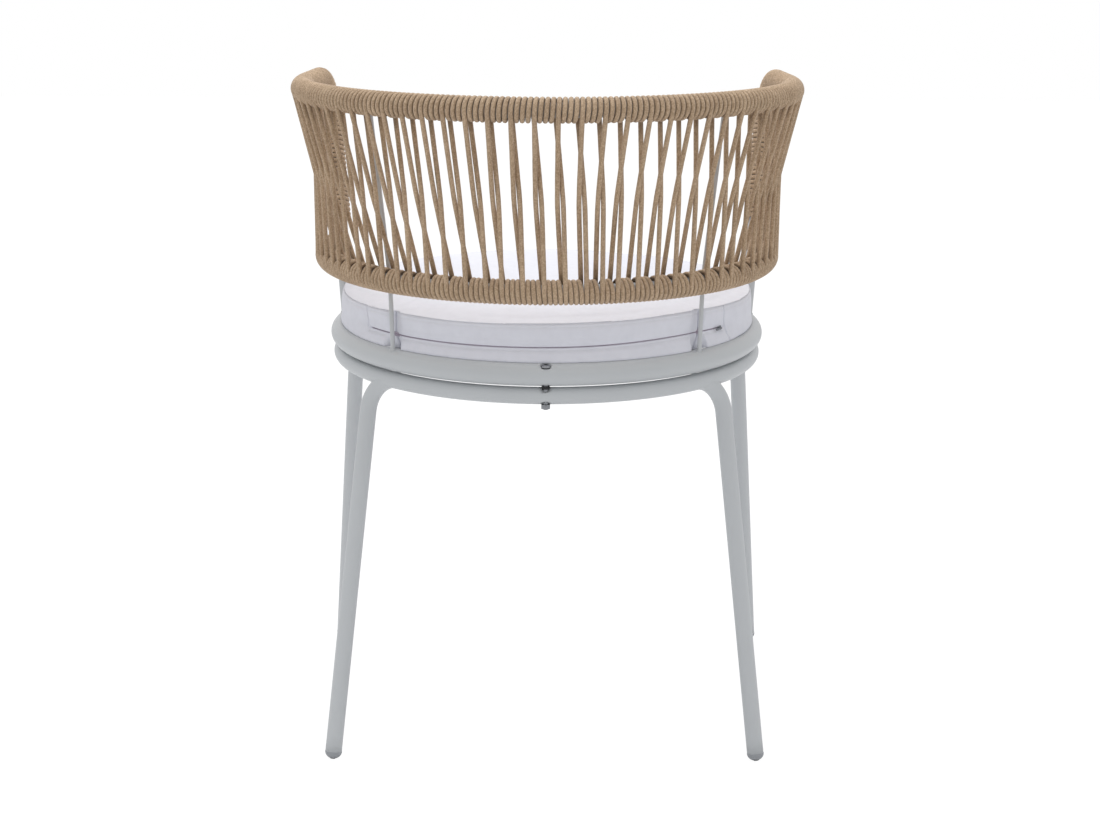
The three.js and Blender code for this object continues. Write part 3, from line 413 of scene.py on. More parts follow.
def moulded_polyethylene():
    """Injection-moulded polyethylene of the foot caps: soft sheen, a fine moulded grain, and scuffs low down
    where it stands."""
    colours = bpy.context.scene.chair_colours
    material, tree, shader = new_finish("moulded_polyethylene")
    place = add_node(tree, "TexCoord").outputs["Object"]
    height = add_node(tree, "SeparateXYZ", {0: place}).outputs[2]
    low = add_node(tree, "MapRange", {0: height, 1: 0.001, 2: 0.005, 3: 1.0, 4: 0.0})
    scuff = add_node(tree, "TexNoise", {"Vector": place, "Scale": 600.0, "Detail": 4.0})
    worn = add_node(tree, "Math", {0: low, 1: scuff}, operation="MULTIPLY")
    mix = add_node(
        tree, "Mix", {0: worn, 6: rgba(colours.caps), 7: rgba(colours.caps, 0.62)}, data_type="RGBA"
    )
    grain = add_node(tree, "TexNoise", {"Vector": place, "Scale": 1 / (0.8 * MM), "Detail": 2.0})
    bump = add_node(tree, "Bump", {"Strength": 0.15, "Distance": 0.05 * MM, "Height": grain})
    fill_sockets(tree, shader, {"Base Color": mix.outputs[2], "Normal": bump, "Roughness": 0.5, "IOR": 1.51})
    return material


def zinc_plated_steel():
    """Bright zinc plate on steel: grey metal with fine blotches, 1.6 mm across, of dull and bright."""
    tint = bpy.context.scene.chair_colours.zinc
    noise, pits = {"Scale": 1 / (1.6 * MM), "Detail": 4.0, "Roughness": 0.65}, (0.2, 0.05 * MM, None)
    return mottled_finish("zinc_plated_steel", tint, noise, (0.6, 1.2), (0.22, 0.45), pits, Metallic=1.0)


def painted_shade_on_zinc():
    """Painted shade in a screw's socket and on its head's side: dark, half dull, a little uneven."""
    tint = bpy.context.scene.chair_colours.zinc_painted_shade
    noise, film = {"Scale": 1 / (0.9 * MM), "Detail": 3.0}, {"Specular IOR Level": 0.3}
    return mottled_finish("painted_shade_on_zinc", tint, noise, (0.7, 1.4), (0.35, 0.6), **film)


def black_nitrile_rubber():
    """Nitrile rubber of the washers between the rings: near black, dull, with dust in its pores."""
    tint = bpy.context.scene.chair_colours.rubber
    noise = {"Scale": 1 / (0.7 * MM), "Detail": 3.0}
    return mottled_finish("black_nitrile_rubber", tint, noise, (1.0, 2.4), Roughness=0.78)


def braided_polyester_rope():
    """Braided polyester rope: crossing yarns make small diamonds, here 12 round the rope and 1.7 mm long, a
    little coarser than the real braid so that they show. Two close tans alternate by yarn, dull and slightly
    fuzzy. Shade is painted on: darker where the yarns dive under each other, and on each wound turn's side
    that faces the rail, where shade falls in the gaps between turns."""
    colours = bpy.context.scene.chair_colours
    material, tree, shader = new_finish("braided_polyester_rope")
    uv = add_node(tree, "UVMap", uv_map="pattern")
    split = add_node(tree, "SeparateXYZ", {0: uv})
    turns = add_node(tree, "Math", {0: split, 1: 12.0}, operation="MULTIPLY")
    rows = add_node(tree, "Math", {0: split.outputs[1], 1: 1 / (1.7 * MM)}, operation="MULTIPLY")
    waves, cells = [], []
    for way in ("ADD", "SUBTRACT"):
        run = add_node(tree, "Math", {0: turns, 1: rows}, operation=way)
        part = add_node(tree, "Math", {0: run}, operation="FRACT")
        arc = add_node(tree, "Math", {0: part, 1: math.pi}, operation="MULTIPLY")
        waves.append(add_node(tree, "Math", {0: arc}, operation="SINE"))
        cells.append(add_node(tree, "Math", {0: run}, operation="FLOOR"))
    pillow = add_node(tree, "Math", {0: waves[0], 1: waves[1]}, operation="MULTIPLY")
    cell = add_node(tree, "CombineXYZ", {0: cells[0], 1: cells[1]})
    yarn = add_node(tree, "TexWhiteNoise", {0: cell}, noise_dimensions="2D")
    place = add_node(tree, "TexCoord").outputs["Object"]
    drift = add_node(tree, "TexNoise", {"Vector": place, "Scale": 30.0, "Detail": 2.0})
    shade = add_node(tree, "Mix", {0: 0.5, 2: yarn, 3: drift}, data_type="FLOAT")
    # Painted shade where the yarns dive under each other: the diamonds' edges are darkened
    crevice_shade = add_node(tree, "MapRange", {0: pillow, 1: 0.0, 2: 0.4, 3: 0.2, 4: 1.0})
    deep = add_node(tree, "Math", {0: shade, 1: crevice_shade}, operation="MULTIPLY")
    mix = add_node(
        tree, "Mix", {0: deep, 6: rgba(colours.rope_dark), 7: rgba(colours.rope_light)}, data_type="RGBA"
    )
    # Painted shade on each wound turn's side that faces the rail, where shade falls between turns
    groove_shade = add_node(tree, "Attribute", attribute_name="groove_shade").outputs["Fac"]
    groove_shadow = add_node(tree, "MapRange", {0: groove_shade, 1: 0.12, 2: 0.5, 3: 0.0, 4: 0.8})
    shadowed_yarn = add_node(
        tree, "Mix", {0: groove_shadow, 6: mix.outputs[2], 7: rgba(colours.rope_dark, 0.45)}, data_type="RGBA"
    )
    bump = add_node(tree, "Bump", {"Strength": 0.6, "Distance": 0.35 * MM, "Height": pillow})
    fill_sockets(tree, shader, {"Base Color": shadowed_yarn.outputs[2], "Normal": bump, "Roughness": 0.85})
    fill_sockets(tree, shader, {"Sheen Weight": 0.15, "Sheen Roughness": 0.6})
    return material


def woven_polyester_canvas():
    """Plain-woven polyester canvas: threads cross over and under. The real threads are about 0.5 mm apart,
    and are drawn 1.1 mm apart so that they show. Soft sheen, faint unevenness of tone, and painted shade
    that leaves the threads' crests lighter than the hollows between them."""
    colours = bpy.context.scene.chair_colours
    material, tree, shader = new_finish("woven_polyester_canvas")
    uv = add_node(tree, "UVMap", uv_map="pattern")
    place = add_node(tree, "TexCoord").outputs["Object"]
    split = add_node(tree, "SeparateXYZ", {0: uv})
    waves = []
    for way in (0, 1):
        run = add_node(tree, "Math", {0: split.outputs[way], 1: math.pi / (1.1 * MM)}, operation="MULTIPLY")
        waves.append(add_node(tree, "Math", {0: run}, operation="SINE"))
    weave = add_node(tree, "Math", {0: waves[0], 1: waves[1]}, operation="MULTIPLY")
    slub = add_node(tree, "TexNoise", {"Vector": place, "Scale": 90.0, "Detail": 4.0, "Roughness": 0.6})
    height = add_node(tree, "Math", {0: weave, 1: 0.35, 2: slub}, operation="MULTIPLY_ADD")
    # The colour follows the weave and the slub: painted shade in the hollows between threads, and the slub's
    # uneven tone
    tint = add_node(tree, "Math", {0: weave, 1: 0.12, 2: slub}, operation="MULTIPLY_ADD")
    tone = add_node(tree, "MapRange", {0: tint, 1: 0.25, 2: 0.75})
    mix = add_node(
        tree,
        "Mix",
        {0: tone, 6: rgba(colours.cushion, 0.955), 7: rgba(colours.cushion, 1.02)},
        data_type="RGBA",
    )
    bump = add_node(tree, "Bump", {"Strength": 0.22, "Distance": 0.15 * MM, "Height": height})
    fill_sockets(
        tree, shader, {"Base Color": mix.outputs[2], "Normal": bump, "Roughness": 0.9, "Sheen Weight": 0.12}
    )
    return material


def woven_zip_tape():
    """Polyester zip tape: a fine rib across the tape, drawn 1 mm apart, with painted shade that leaves it
    lighter on its crests and darker between them.
    """
    colours = bpy.context.scene.chair_colours
    material, tree, shader = new_finish("woven_zip_tape")
    uv = add_node(tree, "UVMap", uv_map="pattern")
    split = add_node(tree, "SeparateXYZ", {0: uv})
    rib = add_node(tree, "Math", {0: split, 1: 2 * math.pi / MM}, operation="MULTIPLY")
    wave = add_node(tree, "Math", {0: rib}, operation="SINE")
    tone = add_node(tree, "MapRange", {0: wave, 1: -1.0, 2: 1.0})
    # Painted shade: the colour follows the rib, darker between its crests
    mix = add_node(
        tree, "Mix", {0: tone, 6: rgba(colours.tape, 0.86), 7: rgba(colours.tape)}, data_type="RGBA"
    )
    bump = add_node(tree, "Bump", {"Strength": 0.3, "Distance": 0.1 * MM, "Height": wave})
    fill_sockets(tree, shader, {"Base Color": mix.outputs[2], "Normal": bump, "Roughness": 0.85})
    return material


def moulded_nylon_coil():
    """Nylon coil of the zip: smooth and a little shiny, a darker mauve grey than the cloth, with faint
    changes of shade along it."""
    tint = bpy.context.scene.chair_colours.coil
    return mottled_finish(
        "moulded_nylon_coil", tint, {"Scale": 120.0, "Detail": 2.0}, (0.8, 1.1), Roughness=0.4
    )


def cast_zinc_alloy():
    """Die-cast zinc alloy of the zip's slider and pull: dull grey metal, rubbed bright in spots."""
    tint = bpy.context.scene.chair_colours.zip_metal
    noise = {"Scale": 1 / (1.2 * MM), "Detail": 3.0}
    return mottled_finish("cast_zinc_alloy", tint, noise, (0.7, 1.3), (0.28, 0.5), Metallic=1.0)


FINISHES = {
    "powder_coat": powder_coated_steel,
    "cap_plastic": moulded_polyethylene,
    "zinc_steel": zinc_plated_steel,
    # Painted shade on the screws' sockets and heads' sides
    "zinc_painted_shade": painted_shade_on_zinc,
    "black_rubber": black_nitrile_rubber,
    "braided_rope": braided_polyester_rope,
    "cushion_cloth": woven_polyester_canvas,
    "zip_tape": woven_zip_tape,
    "zip_coil": moulded_nylon_coil,
    "zip_metal": cast_zinc_alloy,
}
_made = {}


def finish(name):
    """A finish by its name, made once. It is the name of one of the record's slots, apart from two that are
    second looks on pieces of a slot: the painted shade on the screws, and the zip's coil."""
    if name not in _made:
        _made[name] = FINISHES[name]()
    return _made[name]


# Where things are


def centre(node):
    """The middle of a node's box."""
    low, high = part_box(node)
    return np.array((low + high) / 2)


def ring_height(node):
    """The height of a ring's centre line."""
    return float(centre(node)[2])


# The lines that the tubes and the rope follow, in metres, with the part's own sizes
LEG_BEND = 40 * MM
# A leg's foot across and along, its top across, and whether it stands behind or in front
REAR_LEG = (243 * MM, 235 * MM, 197.4 * MM, 1)
FRONT_LEG = (271 * MM, 142 * MM, 237 * MM, -1)
LEGS = (
    ("rear_leg_left", 1, REAR_LEG),
    ("rear_leg_right", -1, REAR_LEG),
    ("front_leg_left", 1, FRONT_LEG),
    ("front_leg_right", -1, FRONT_LEG),
)
LEG_TOP_OUTSET = 3 * MM
LEG_END_RUN = 5 * MM
LEG_END_INSET = 1.5 * MM
LEG_STEP = 20 * MM
CAP_DOME = 8.5 * MM
TOP_RAIL_RADIUS = 284 * MM
TOP_RAIL_HEIGHT = 744 * MM
ARM_TURN = math.radians(94)
ARM_TIP = 146 * MM
ARM_CORNER = 36 * MM
POST_FOOT = 30 * MM
POST_FOOT_INSET = 2 * MM
LOWER_RAIL_RADIUS = 261 * MM
LOWER_RAIL_HEIGHT = 550 * MM
SCREW_RADIUS = 250.5 * MM
ROD_PLACES = ((250 * MM, 42.8), (243.1 * MM, 45.5), (266.1 * MM, 46.0))
ROD_BEND = 60 * MM

# Beads of weld: how far out from the tube, the number of their ripples and how strong they are, and the
# rounds that bring them to the ring's surface
WELD_OUTSET = 0.1 * MM
WELD_RIPPLES = 17
WELD_RIPPLE = 0.12
WELD_ROUNDS = 6

# Screws, nuts and washers: radii, heights, and how deep their flat seats are cut into the tubes
FIT = 0.3 * MM
HEAD_SEAT = 4.4 * MM
NUT_SEAT = 1.4 * MM
WASHER_SINK = 1.0 * MM
SHANK_RADIUS = 3.0 * MM
SHANK_BEVEL = 0.6 * MM
SHANK_TIP = 2.5 * MM
SHANK_PAST_NUT = 1.2 * MM
HOLE_WIDTH = 6.2 * MM
HOLE_PAST = 20 * MM
HEAD_CUT = 12 * MM
NUT_CUT = 6 * MM
HEAD_RADIUS = 5.75 * MM
HEAD_SIDE = 0.8 * MM
HEAD_SHOULDER = (4.7 * MM, 2.9 * MM)
HEAD_TOP = (2.4 * MM, 3.6 * MM)
HEAD_EDGE = 0.25 * MM
HEAD_SEAT_WIDTH = 12.4 * MM
SOCKET_FLAT = 1.9 * MM
SOCKET_RIM = 3.35 * MM
SOCKET_FLOOR = 1.8 * MM
# Painted shade on a screw's head: faces nearer to the axis than the first (the socket), and farther than the
# second (the head's side)
SHADE_INSIDE = 2.6 * MM
SHADE_OUTSIDE = 5.3 * MM
AXIS_HOLE = 0.4 * MM
NUT_FLAT = 4.8 * MM
NUT_FACE = NUT_FLAT * 0.99
NUT_CHAMFER = 0.35
NUT_HEIGHT = 4.8 * MM
NUT_BORE = 3.2 * MM
NUT_EDGE = 0.25 * MM
NUT_SEAT_WIDTH = 11.9 * MM
WASHER_BORE = 3.3 * MM
WASHER_RIM = 3.8 * MM
WASHER_RADIUS = 4.5 * MM
WASHER_LIP = 0.8 * MM
ROUND_SIDES = 48

# Foot caps: the dome's radius and height, the share of the radius that is flat below, the angles of the
# dome's curve, and the collar's inner radius and top
CAP_RADIUS = 9.7 * MM
CAP_HEIGHT = 8.3 * MM
CAP_SINK = 0.3 * MM
CAP_EDGE = 0.4 * MM
CAP_FLAT = 0.35
CAP_ANGLES = np.linspace(0.14, math.pi / 2, 14)[2:]
COLLAR_RADIUS = 7.4 * MM
COLLAR_TOP = 20 * MM


def leg_line(side, leg):
    """A leg's centre line: straight from above its cap, then a bend into the leg ring's circle."""
    foot_x, foot_y, top_x, back = leg
    radius = bpy.context.scene.chair_frame.ring_radius
    height = ring_height("leg_ring")
    top_y = back * math.sqrt((radius + LEG_TOP_OUTSET) ** 2 - top_x**2)
    top = np.array([side * top_x, top_y, height])
    foot = np.array([side * foot_x, back * foot_y, 0.0])
    along = unit(np.array([-side * abs(top_y), back * top_x, 0.0]))
    run = top + along * (LEG_BEND + LEG_END_RUN)
    run[:2] *= (radius - LEG_END_INSET) / np.linalg.norm(run[:2])
    end = foot + unit(top - foot) * CAP_DOME
    line = np.concatenate([[end], rounded_corner(end, top, run, LEG_BEND, 32)])
    return line + [0, AXIS_Y, 0], unit(top - foot)


def hoop_half():
    """Half of the back hoop's centre line, from the middle of the back round the arm on the -X side and down
    the post."""
    radius = bpy.context.scene.chair_frame.ring_radius - POST_FOOT_INSET
    foot = np.array([-math.sqrt(radius**2 - POST_FOOT**2), AXIS_Y - POST_FOOT, ring_height("seat_ring")])
    arc = on_circle(TOP_RAIL_RADIUS, np.linspace(0, ARM_TURN, 160), TOP_RAIL_HEIGHT)
    forward = np.array([-math.cos(ARM_TURN), -math.sin(ARM_TURN), 0.0])
    tip = arc[-1] + forward * (arc[-1][1] - AXIS_Y + ARM_TIP) / math.sin(ARM_TURN)
    bend = rounded_corner(arc[-1], tip, foot, ARM_CORNER, 40)
    return np.concatenate([arc, bend, [foot]])


def rod_points(side):
    """A back rod's foot in the seat ring, its waist by the lower rail, and its top by the top rail."""
    heights = (ring_height("seat_ring"), LOWER_RAIL_HEIGHT, TOP_RAIL_HEIGHT)
    return [on_circle(r, math.radians(side * a), z) for (r, a), z in zip(ROD_PLACES, heights)]


def lower_rail_reach():
    """The angle at which the straight post crosses the lower rail's circle."""
    line = hoop_half()
    foot, bend_end = line[-1], line[-2]
    share = (LOWER_RAIL_HEIGHT - foot[2]) / (bend_end[2] - foot[2])
    y = foot[1] + (bend_end[1] - foot[1]) * share - AXIS_Y
    return math.pi / 2 + math.asin(-y / LOWER_RAIL_RADIUS)


class Rail:
    """A rail's places and directions by the distance along it from the middle of the back, positive towards
    -X."""

    def __init__(self, half, spacing=1.5 * MM):
        """Even places along half a rail and its mirror image, with their running length and directions."""
        half = resample(half, spacing)
        mirrored = half[:0:-1] * [-1, 1, 1]
        self.place = np.concatenate([mirrored, half])
        steps = np.linalg.norm(np.diff(self.place, axis=0), axis=1)
        self.run = np.concatenate([[0], np.cumsum(steps)]) - steps.sum() / 2
        radial = self.place - [0, AXIS_Y, 0]
        radial[:, 2] = 0
        self.along, self.outward, _ = carried_frame(self.place, unit(radial))
        self.up = np.cross(self.outward, self.along)

    def at(self, distance):
        """The place, the outward and the upward direction at a distance, each interpolated between the rail's
        points."""

        def read(values):
            """Each coordinate interpolated over the running length."""
            return np.stack([np.interp(distance, self.run, values[:, k]) for k in range(3)], -1)

        return read(self.place), unit(read(self.outward)), unit(read(self.up))


# The steel frame


def screw_places():
    """The feet of the screws' axes: three places on a circle, the first at the middle of the back."""
    return on_circle(SCREW_RADIUS, np.arange(3) * 2 * math.pi / 3, 0.0)


def cylinder_cutter(place, low, high, diameter):
    """A closed cylinder that stands from one height to another."""
    profile = [(diameter / 2, low), (diameter / 2, high)]
    cutter = turned("cutter", profile, place, (0, 0, 1), 40, "powder_coat")
    cutter.hide_render = True
    return cutter


def make_rings():
    """Both rings are circles carried round a level circle. The screws' holes and the spot faces for their
    heads and nuts are cut from them."""
    sizes = bpy.context.scene.chair_frame
    turn = np.linspace(0, 2 * math.pi, 220, endpoint=False)
    up = np.broadcast_to([0.0, 0.0, 1.0], (len(turn), 3))
    seat_z, leg_z = ring_height("seat_ring"), ring_height("leg_ring")
    head_z = seat_z + sizes.seat_tube / 2 - HEAD_SEAT
    nut_z = leg_z - sizes.leg_tube / 2 + NUT_SEAT
    seat_cuts = (head_z, head_z + HEAD_CUT, HEAD_SEAT_WIDTH), (seat_z - HOLE_PAST, head_z + MM, HOLE_WIDTH)
    leg_cuts = (nut_z - NUT_CUT, nut_z, NUT_SEAT_WIDTH), (nut_z - MM, leg_z + HOLE_PAST, HOLE_WIDTH)
    rings = (
        ("seat_ring", seat_z, sizes.seat_tube, 32, seat_cuts),
        ("leg_ring", leg_z, sizes.leg_tube, 28, leg_cuts),
    )
    for node, z, width, sides, cuts in rings:
        path = on_circle(sizes.ring_radius, turn, z)
        ring = tube(f"{node}_tube", path, up, width / 2, sides, "powder_coat", closed=True)
        cut_away(ring, [cylinder_cutter(place, *cut) for place in screw_places() for cut in cuts])
        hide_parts(node)


def make_legs():
    """Each leg is a circle carried up a straight line and round a bend into the ring. Its cap is a turned
    profile: a quarter dome and a short collar, flat where it stands."""
    sizes = bpy.context.scene.chair_frame
    for name, side, leg in LEGS:
        line, up = leg_line(side, leg)
        path = np.concatenate([resample(line[:2], LEG_STEP)[:-1], line[1:]])
        guide = np.broadcast_to(unit(np.cross(up, [side, 0.0, 0.0])), path.shape)
        piece = tube(f"{name}_tube", path, guide, sizes.leg_tube / 2, 32, "powder_coat")
        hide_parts(name)
        foot = line[0] - up * CAP_DOME
        profile = [(CAP_FLAT * CAP_RADIUS, -CAP_SINK)]
        profile += [
            (CAP_RADIUS * math.sin(t), CAP_HEIGHT * (1 - math.cos(t)) - CAP_SINK)
            for t in CAP_ANGLES
        ]
        profile += [(CAP_RADIUS, CAP_HEIGHT), (CAP_RADIUS - CAP_EDGE, CAP_HEIGHT + CAP_EDGE)]
        profile += [(COLLAR_RADIUS, CAP_HEIGHT + CAP_EDGE), (COLLAR_RADIUS, COLLAR_TOP)]
        node = name.replace("leg", "foot_cap")
        cap = turned(f"{node}_dome", profile, foot, up, 40, "cap_plastic")
        flatten(cap, 0.0)
        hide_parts(node)


def flatten(piece, floor):
    """Lifts every vertex below the floor's height to it."""
    points = read_points(piece)
    points[:, 2] = np.maximum(points[:, 2], floor)
    write_points(piece, points)


def hexagon(turn):
    """How far a hexagon's side is out, against its flats: 1 / cos of the angle from the nearest flat."""
    return 1 / np.cos((turn + math.pi / 6) % (math.pi / 3) - math.pi / 6)


def make_fasteners():
    """Screws are turned profiles with a hexagon socket, nuts are hexagons with turned chamfers, and washers
    are turned rings."""
    sizes = bpy.context.scene.chair_frame
    seat_z, leg_z = ring_height("seat_ring"), ring_height("leg_ring")
    head = seat_z + sizes.seat_tube / 2 - HEAD_SEAT + FIT
    nut_top = leg_z - sizes.leg_tube / 2 + NUT_SEAT - FIT
    nut_low = nut_top - NUT_HEIGHT
    low = nut_low - SHANK_PAST_NUT
    outer = [
        (AXIS_HOLE, low),
        (SHANK_TIP, low),
        (SHANK_RADIUS, low + SHANK_BEVEL),
        (SHANK_RADIUS, head),
        (HEAD_RADIUS, head),
    ]
    outer += [(HEAD_RADIUS, head + HEAD_SIDE)] + [(r, head + h) for r, h in (HEAD_SHOULDER, HEAD_TOP)]
    outer = rounded(outer, HEAD_EDGE)
    socket = np.array(
        [
            (SOCKET_FLAT, head + SOCKET_RIM),
            (SOCKET_FLAT, head + SOCKET_FLOOR),
            (AXIS_HOLE, head + SOCKET_FLOOR),
        ]
    )
    profile = np.concatenate([outer, socket])
    six = hexagon(np.linspace(0, 2 * math.pi, ROUND_SIDES, endpoint=False))
    shape = np.ones((len(profile), ROUND_SIDES))
    shape[len(outer) :] = six
    nut_section = [(NUT_BORE, nut_low), (NUT_FACE, nut_low), (NUT_FLAT, nut_low + NUT_EDGE)]
    nut_section += [(NUT_FLAT, nut_top - NUT_EDGE), (NUT_FACE, nut_top), (NUT_BORE, nut_top)]
    chamfer = 1 + (six - 1) * NUT_CHAMFER
    bore = np.ones(ROUND_SIDES)
    hexed = np.stack([bore, chamfer, six, six, chamfer, bore])
    under, over = leg_z + sizes.leg_tube / 2 - WASHER_SINK, seat_z - sizes.seat_tube / 2 + WASHER_SINK
    washer_section = [(WASHER_BORE, under), (WASHER_RIM, under), (WASHER_RADIUS, under + WASHER_LIP)]
    washer_section += [(WASHER_RADIUS, over - WASHER_LIP), (WASHER_RIM, over), (WASHER_BORE, over)]
    for i, place in enumerate(screw_places(), 1):
        screw = turned(f"screw_{i}", profile, place, (0, 0, 1), ROUND_SIDES, "zinc_steel", outline=shape)
        # Painted shade in the socket and on the side of the head
        paint_screw_shade(screw, place, head, SHADE_INSIDE, SHADE_OUTSIDE)
        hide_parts(f"ring_screw_{i}")
        nut = turned_ring(f"nut_{i}", nut_section, place, hexed, "zinc_steel")
        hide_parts(f"ring_nut_{i}")
        washer = turned_ring(f"washer_{i}", washer_section, place, np.ones_like(hexed), "black_rubber")
        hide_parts(f"ring_spacer_{i}")


def paint_screw_shade(piece, place, height, inner, outer):
    """Gives the painted shade finish to the faces above a height that lie nearer to the axis than inner or
    farther than outer: the screw's socket and its head's side."""
    piece.data.materials.append(finish("zinc_painted_shade"))
    middles = np.empty(len(piece.data.polygons) * 3)
    piece.data.polygons.foreach_get("center", middles)
    middles = middles.reshape(-1, 3) - [place[0], place[1], height]
    away = np.hypot(middles[:, 0], middles[:, 1])
    dark = (middles[:, 2] > -0.1 * MM) & ((away < inner) | (away > outer))
    piece.data.polygons.foreach_set("material_index", dark.astype(np.int32))


def turned_ring(name, section, place, shape, slot):
    """A closed section of (radius, height) pairs turned about an upright axis, its radius multiplied by
    shape."""
    section, sides = np.array(section), shape.shape[1]
    turn = np.linspace(0, 2 * math.pi, sides, endpoint=False)
    radius = section[:, 0:1] * shape
    points = np.stack(
        [
            place[0] + radius * np.cos(turn),
            place[1] + radius * np.sin(turn),
            np.repeat(section[:, 1:2], sides, 1),
        ],
        -1,
    )
    faces, _, _ = grid_faces(len(section), sides, True, True)
    piece = new_piece(name, points, faces, slot, "frame")
    bevel = piece.modifiers.new("edge", "EDGE_SPLIT")
    bevel.split_angle = math.radians(40)
    apply_modifiers(piece)
    return piece


def make_slats():
    """The slats keep the part's own solids, with the frame's powder coat."""
    for i in range(1, 6):
        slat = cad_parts[f"seat_slat_{i}"]
        slat.material_slots[0].material = finish("powder_coat")


def weld_bead(name, foot, tip, tube_radius):
    """A bead of weld round a tube where it enters the seat ring: a loop round the tube's axis at a tube's
    radius, each place lifted to the ring's surface, with the bead's circle carried along it."""
    sizes = bpy.context.scene.chair_frame
    axis = unit(tip - foot)
    side = unit(np.cross(axis, [0.0, 1.0, 0.0]))
    other = np.cross(axis, side)
    turn = np.linspace(0, 2 * math.pi, 64, endpoint=False)
    arm = side * np.cos(turn)[:, None] + other * np.sin(turn)[:, None]
    loop = foot + (tube_radius + WELD_OUTSET) * arm
    for _ in range(WELD_ROUNDS):
        away = np.hypot(loop[:, 0], loop[:, 1] - AXIS_Y) - sizes.ring_radius
        height = ring_height("seat_ring") + np.sqrt(np.maximum((sizes.seat_tube / 2) ** 2 - away**2, 0))
        loop = loop + axis * ((height - loop[:, 2]) / axis[2])[:, None]
    wave = 1 + WELD_RIPPLE * np.sin(WELD_RIPPLES * turn)
    guide = unit(loop - foot - axis * ((loop - foot) @ axis)[:, None])
    return tube(name, loop, guide, sizes.weld_bead * wave, 12, "powder_coat", closed=True)


def make_back_tubes():
    """The back hoop, the lower rail and the rods are circles carried along their centre lines, with a bead of
    weld at each foot."""
    sizes = bpy.context.scene.chair_frame
    half = hoop_half()
    rail = Rail(half, 4 * MM)
    hoop = tube("back_hoop_tube", rail.place, rail.outward, sizes.back_tube / 2, 28, "powder_coat")
    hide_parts("back_hoop")
    reach = lower_rail_reach()
    line = on_circle(LOWER_RAIL_RADIUS, np.linspace(-reach, reach, 200), LOWER_RAIL_HEIGHT)
    outward = unit((line - [0, AXIS_Y, 0]) * [1, 1, 0])
    lower = tube("lower_rail_tube", line, outward, sizes.back_tube / 2, 28, "powder_coat")
    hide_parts("lower_rail")
    for name, side in (("back_rod_left", -1), ("back_rod_right", 1)):
        foot, waist, top = rod_points(side)
        path = resample(
            np.concatenate([[foot], rounded_corner(foot, waist, top, ROD_BEND, 12), [top]]), 8 * MM
        )
        guide = np.broadcast_to([1.0, 0.0, 0.0], path.shape)
        rod = tube(f"{name}_steel", path, guide, sizes.rod / 2, 16, "powder_coat")
        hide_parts(name)
        weld_bead(f"{name}_weld", foot, waist, sizes.rod / 2)
    for name, side in (("post_left", -1), ("post_right", 1)):
        foot, tip = half[-1] * [-side, 1, 1], half[-2] * [-side, 1, 1]
        weld_bead(f"{name}_weld", foot, tip, sizes.back_tube / 2)


# The rope

STATIONS = 46
TOP_TURNS = 4
# How many turns of the lower rail lie between one station and the next, from the +X end
LOWER_TURNS = [4, 4, 3] * 5 + [4, 4, 4, 4, 3] * 2 + [3, 4, 4, 4, 4] + [4, 4, 3] * 5
FIRST_MIDDLE = 15
FIRST_MIDDLE_PLACE = -147.5 * MM
# How far the windings stop short of the lower rail's ends
LOW_END_GAP = 15 * MM
# How far the arms' ropes stay above the lower rail's, upright and then along the post
POST_ROPE_RISE = 2 * MM
POST_ROPE_STOP = 6 * MM


def station_places():
    """Where the strands meet the rails. A station's outer strand leaves the top rail half a turn after its
    inner one arrives."""
    sizes = bpy.context.scene.chair_rope
    top_outer = (np.arange(STATIONS) - (STATIONS - 1) / 2) * TOP_TURNS * sizes.top_pitch
    turns = np.concatenate([[0], np.cumsum(LOWER_TURNS)])
    low_outer = FIRST_MIDDLE_PLACE + (turns - turns[FIRST_MIDDLE]) * sizes.lower_pitch
    return top_outer, top_outer - sizes.top_pitch / 2, low_outer - sizes.lower_pitch / 2, low_outer


def winding(rail, start, pitch, first, last, way, radius, steps):
    """Turns of rope round a rail. At turn t the rope is pitch x t from the start, on the arm at angle pi -
    way x 2 pi t."""
    turn = np.linspace(first, last, max(3, int(round((last - first) * steps)) + 1))
    place, outward, up = rail.at(start - pitch * turn)
    angle = (math.pi - way * 2 * math.pi * turn)[:, None]
    arm = outward * np.cos(angle) + up * np.sin(angle)
    return place + radius * arm, arm


def strand(begin, end, bow, normal, steps=22):
    """A free strand: a straight line plus a bow aside, whose size is a rounded triangle 1 - (sqrt((2t-1)^2 +
    e^2) - e)/(sqrt(1 + e^2) - e)."""
    t = np.linspace(0, 1, steps + 2)[1:-1, None]
    e = 0.12
    shape = 1 - (np.sqrt((2 * t - 1) ** 2 + e * e) - e) / (math.sqrt(1 + e * e) - e)
    line = begin + (end - begin) * t + bow * shape
    along = unit(end - begin)
    side = unit(np.cross(along, normal))
    return line, np.cos(math.pi * t) * normal + np.sin(math.pi * t) * side


def rails():
    """The top rail with the arms and posts, and the lower rail."""
    low = on_circle(LOWER_RAIL_RADIUS, np.linspace(0, lower_rail_reach(), 160), LOWER_RAIL_HEIGHT)
    return Rail(hoop_half()), Rail(low)


def lean_angles(radius):
    """The lean from upright of the two tangents between the rails' windings, one crossing between them and
    one beside them."""
    inward, drop = TOP_RAIL_RADIUS - LOWER_RAIL_RADIUS, TOP_RAIL_HEIGHT - LOWER_RAIL_HEIGHT
    middle = math.atan2(inward, drop)
    cross = math.asin(2 * radius / math.hypot(inward, drop))
    return middle + cross, middle - cross


def shade_grooves(piece, wound, sides):
    """Writes the painted shade between turns that the rope's finish reads: on a winding it is sin^2 of half
    the angle from the side that faces out, and on a free strand it is 0."""
    turn = np.linspace(0, 2 * math.pi, sides, endpoint=False)
    groove_shade = np.asarray(wound, float)[:, None] * np.sin(turn / 2)[None] ** 2
    values = piece.data.attributes.new("groove_shade", "FLOAT", "POINT")
    values.data.foreach_set("value", groove_shade.astype(np.float32).ravel())


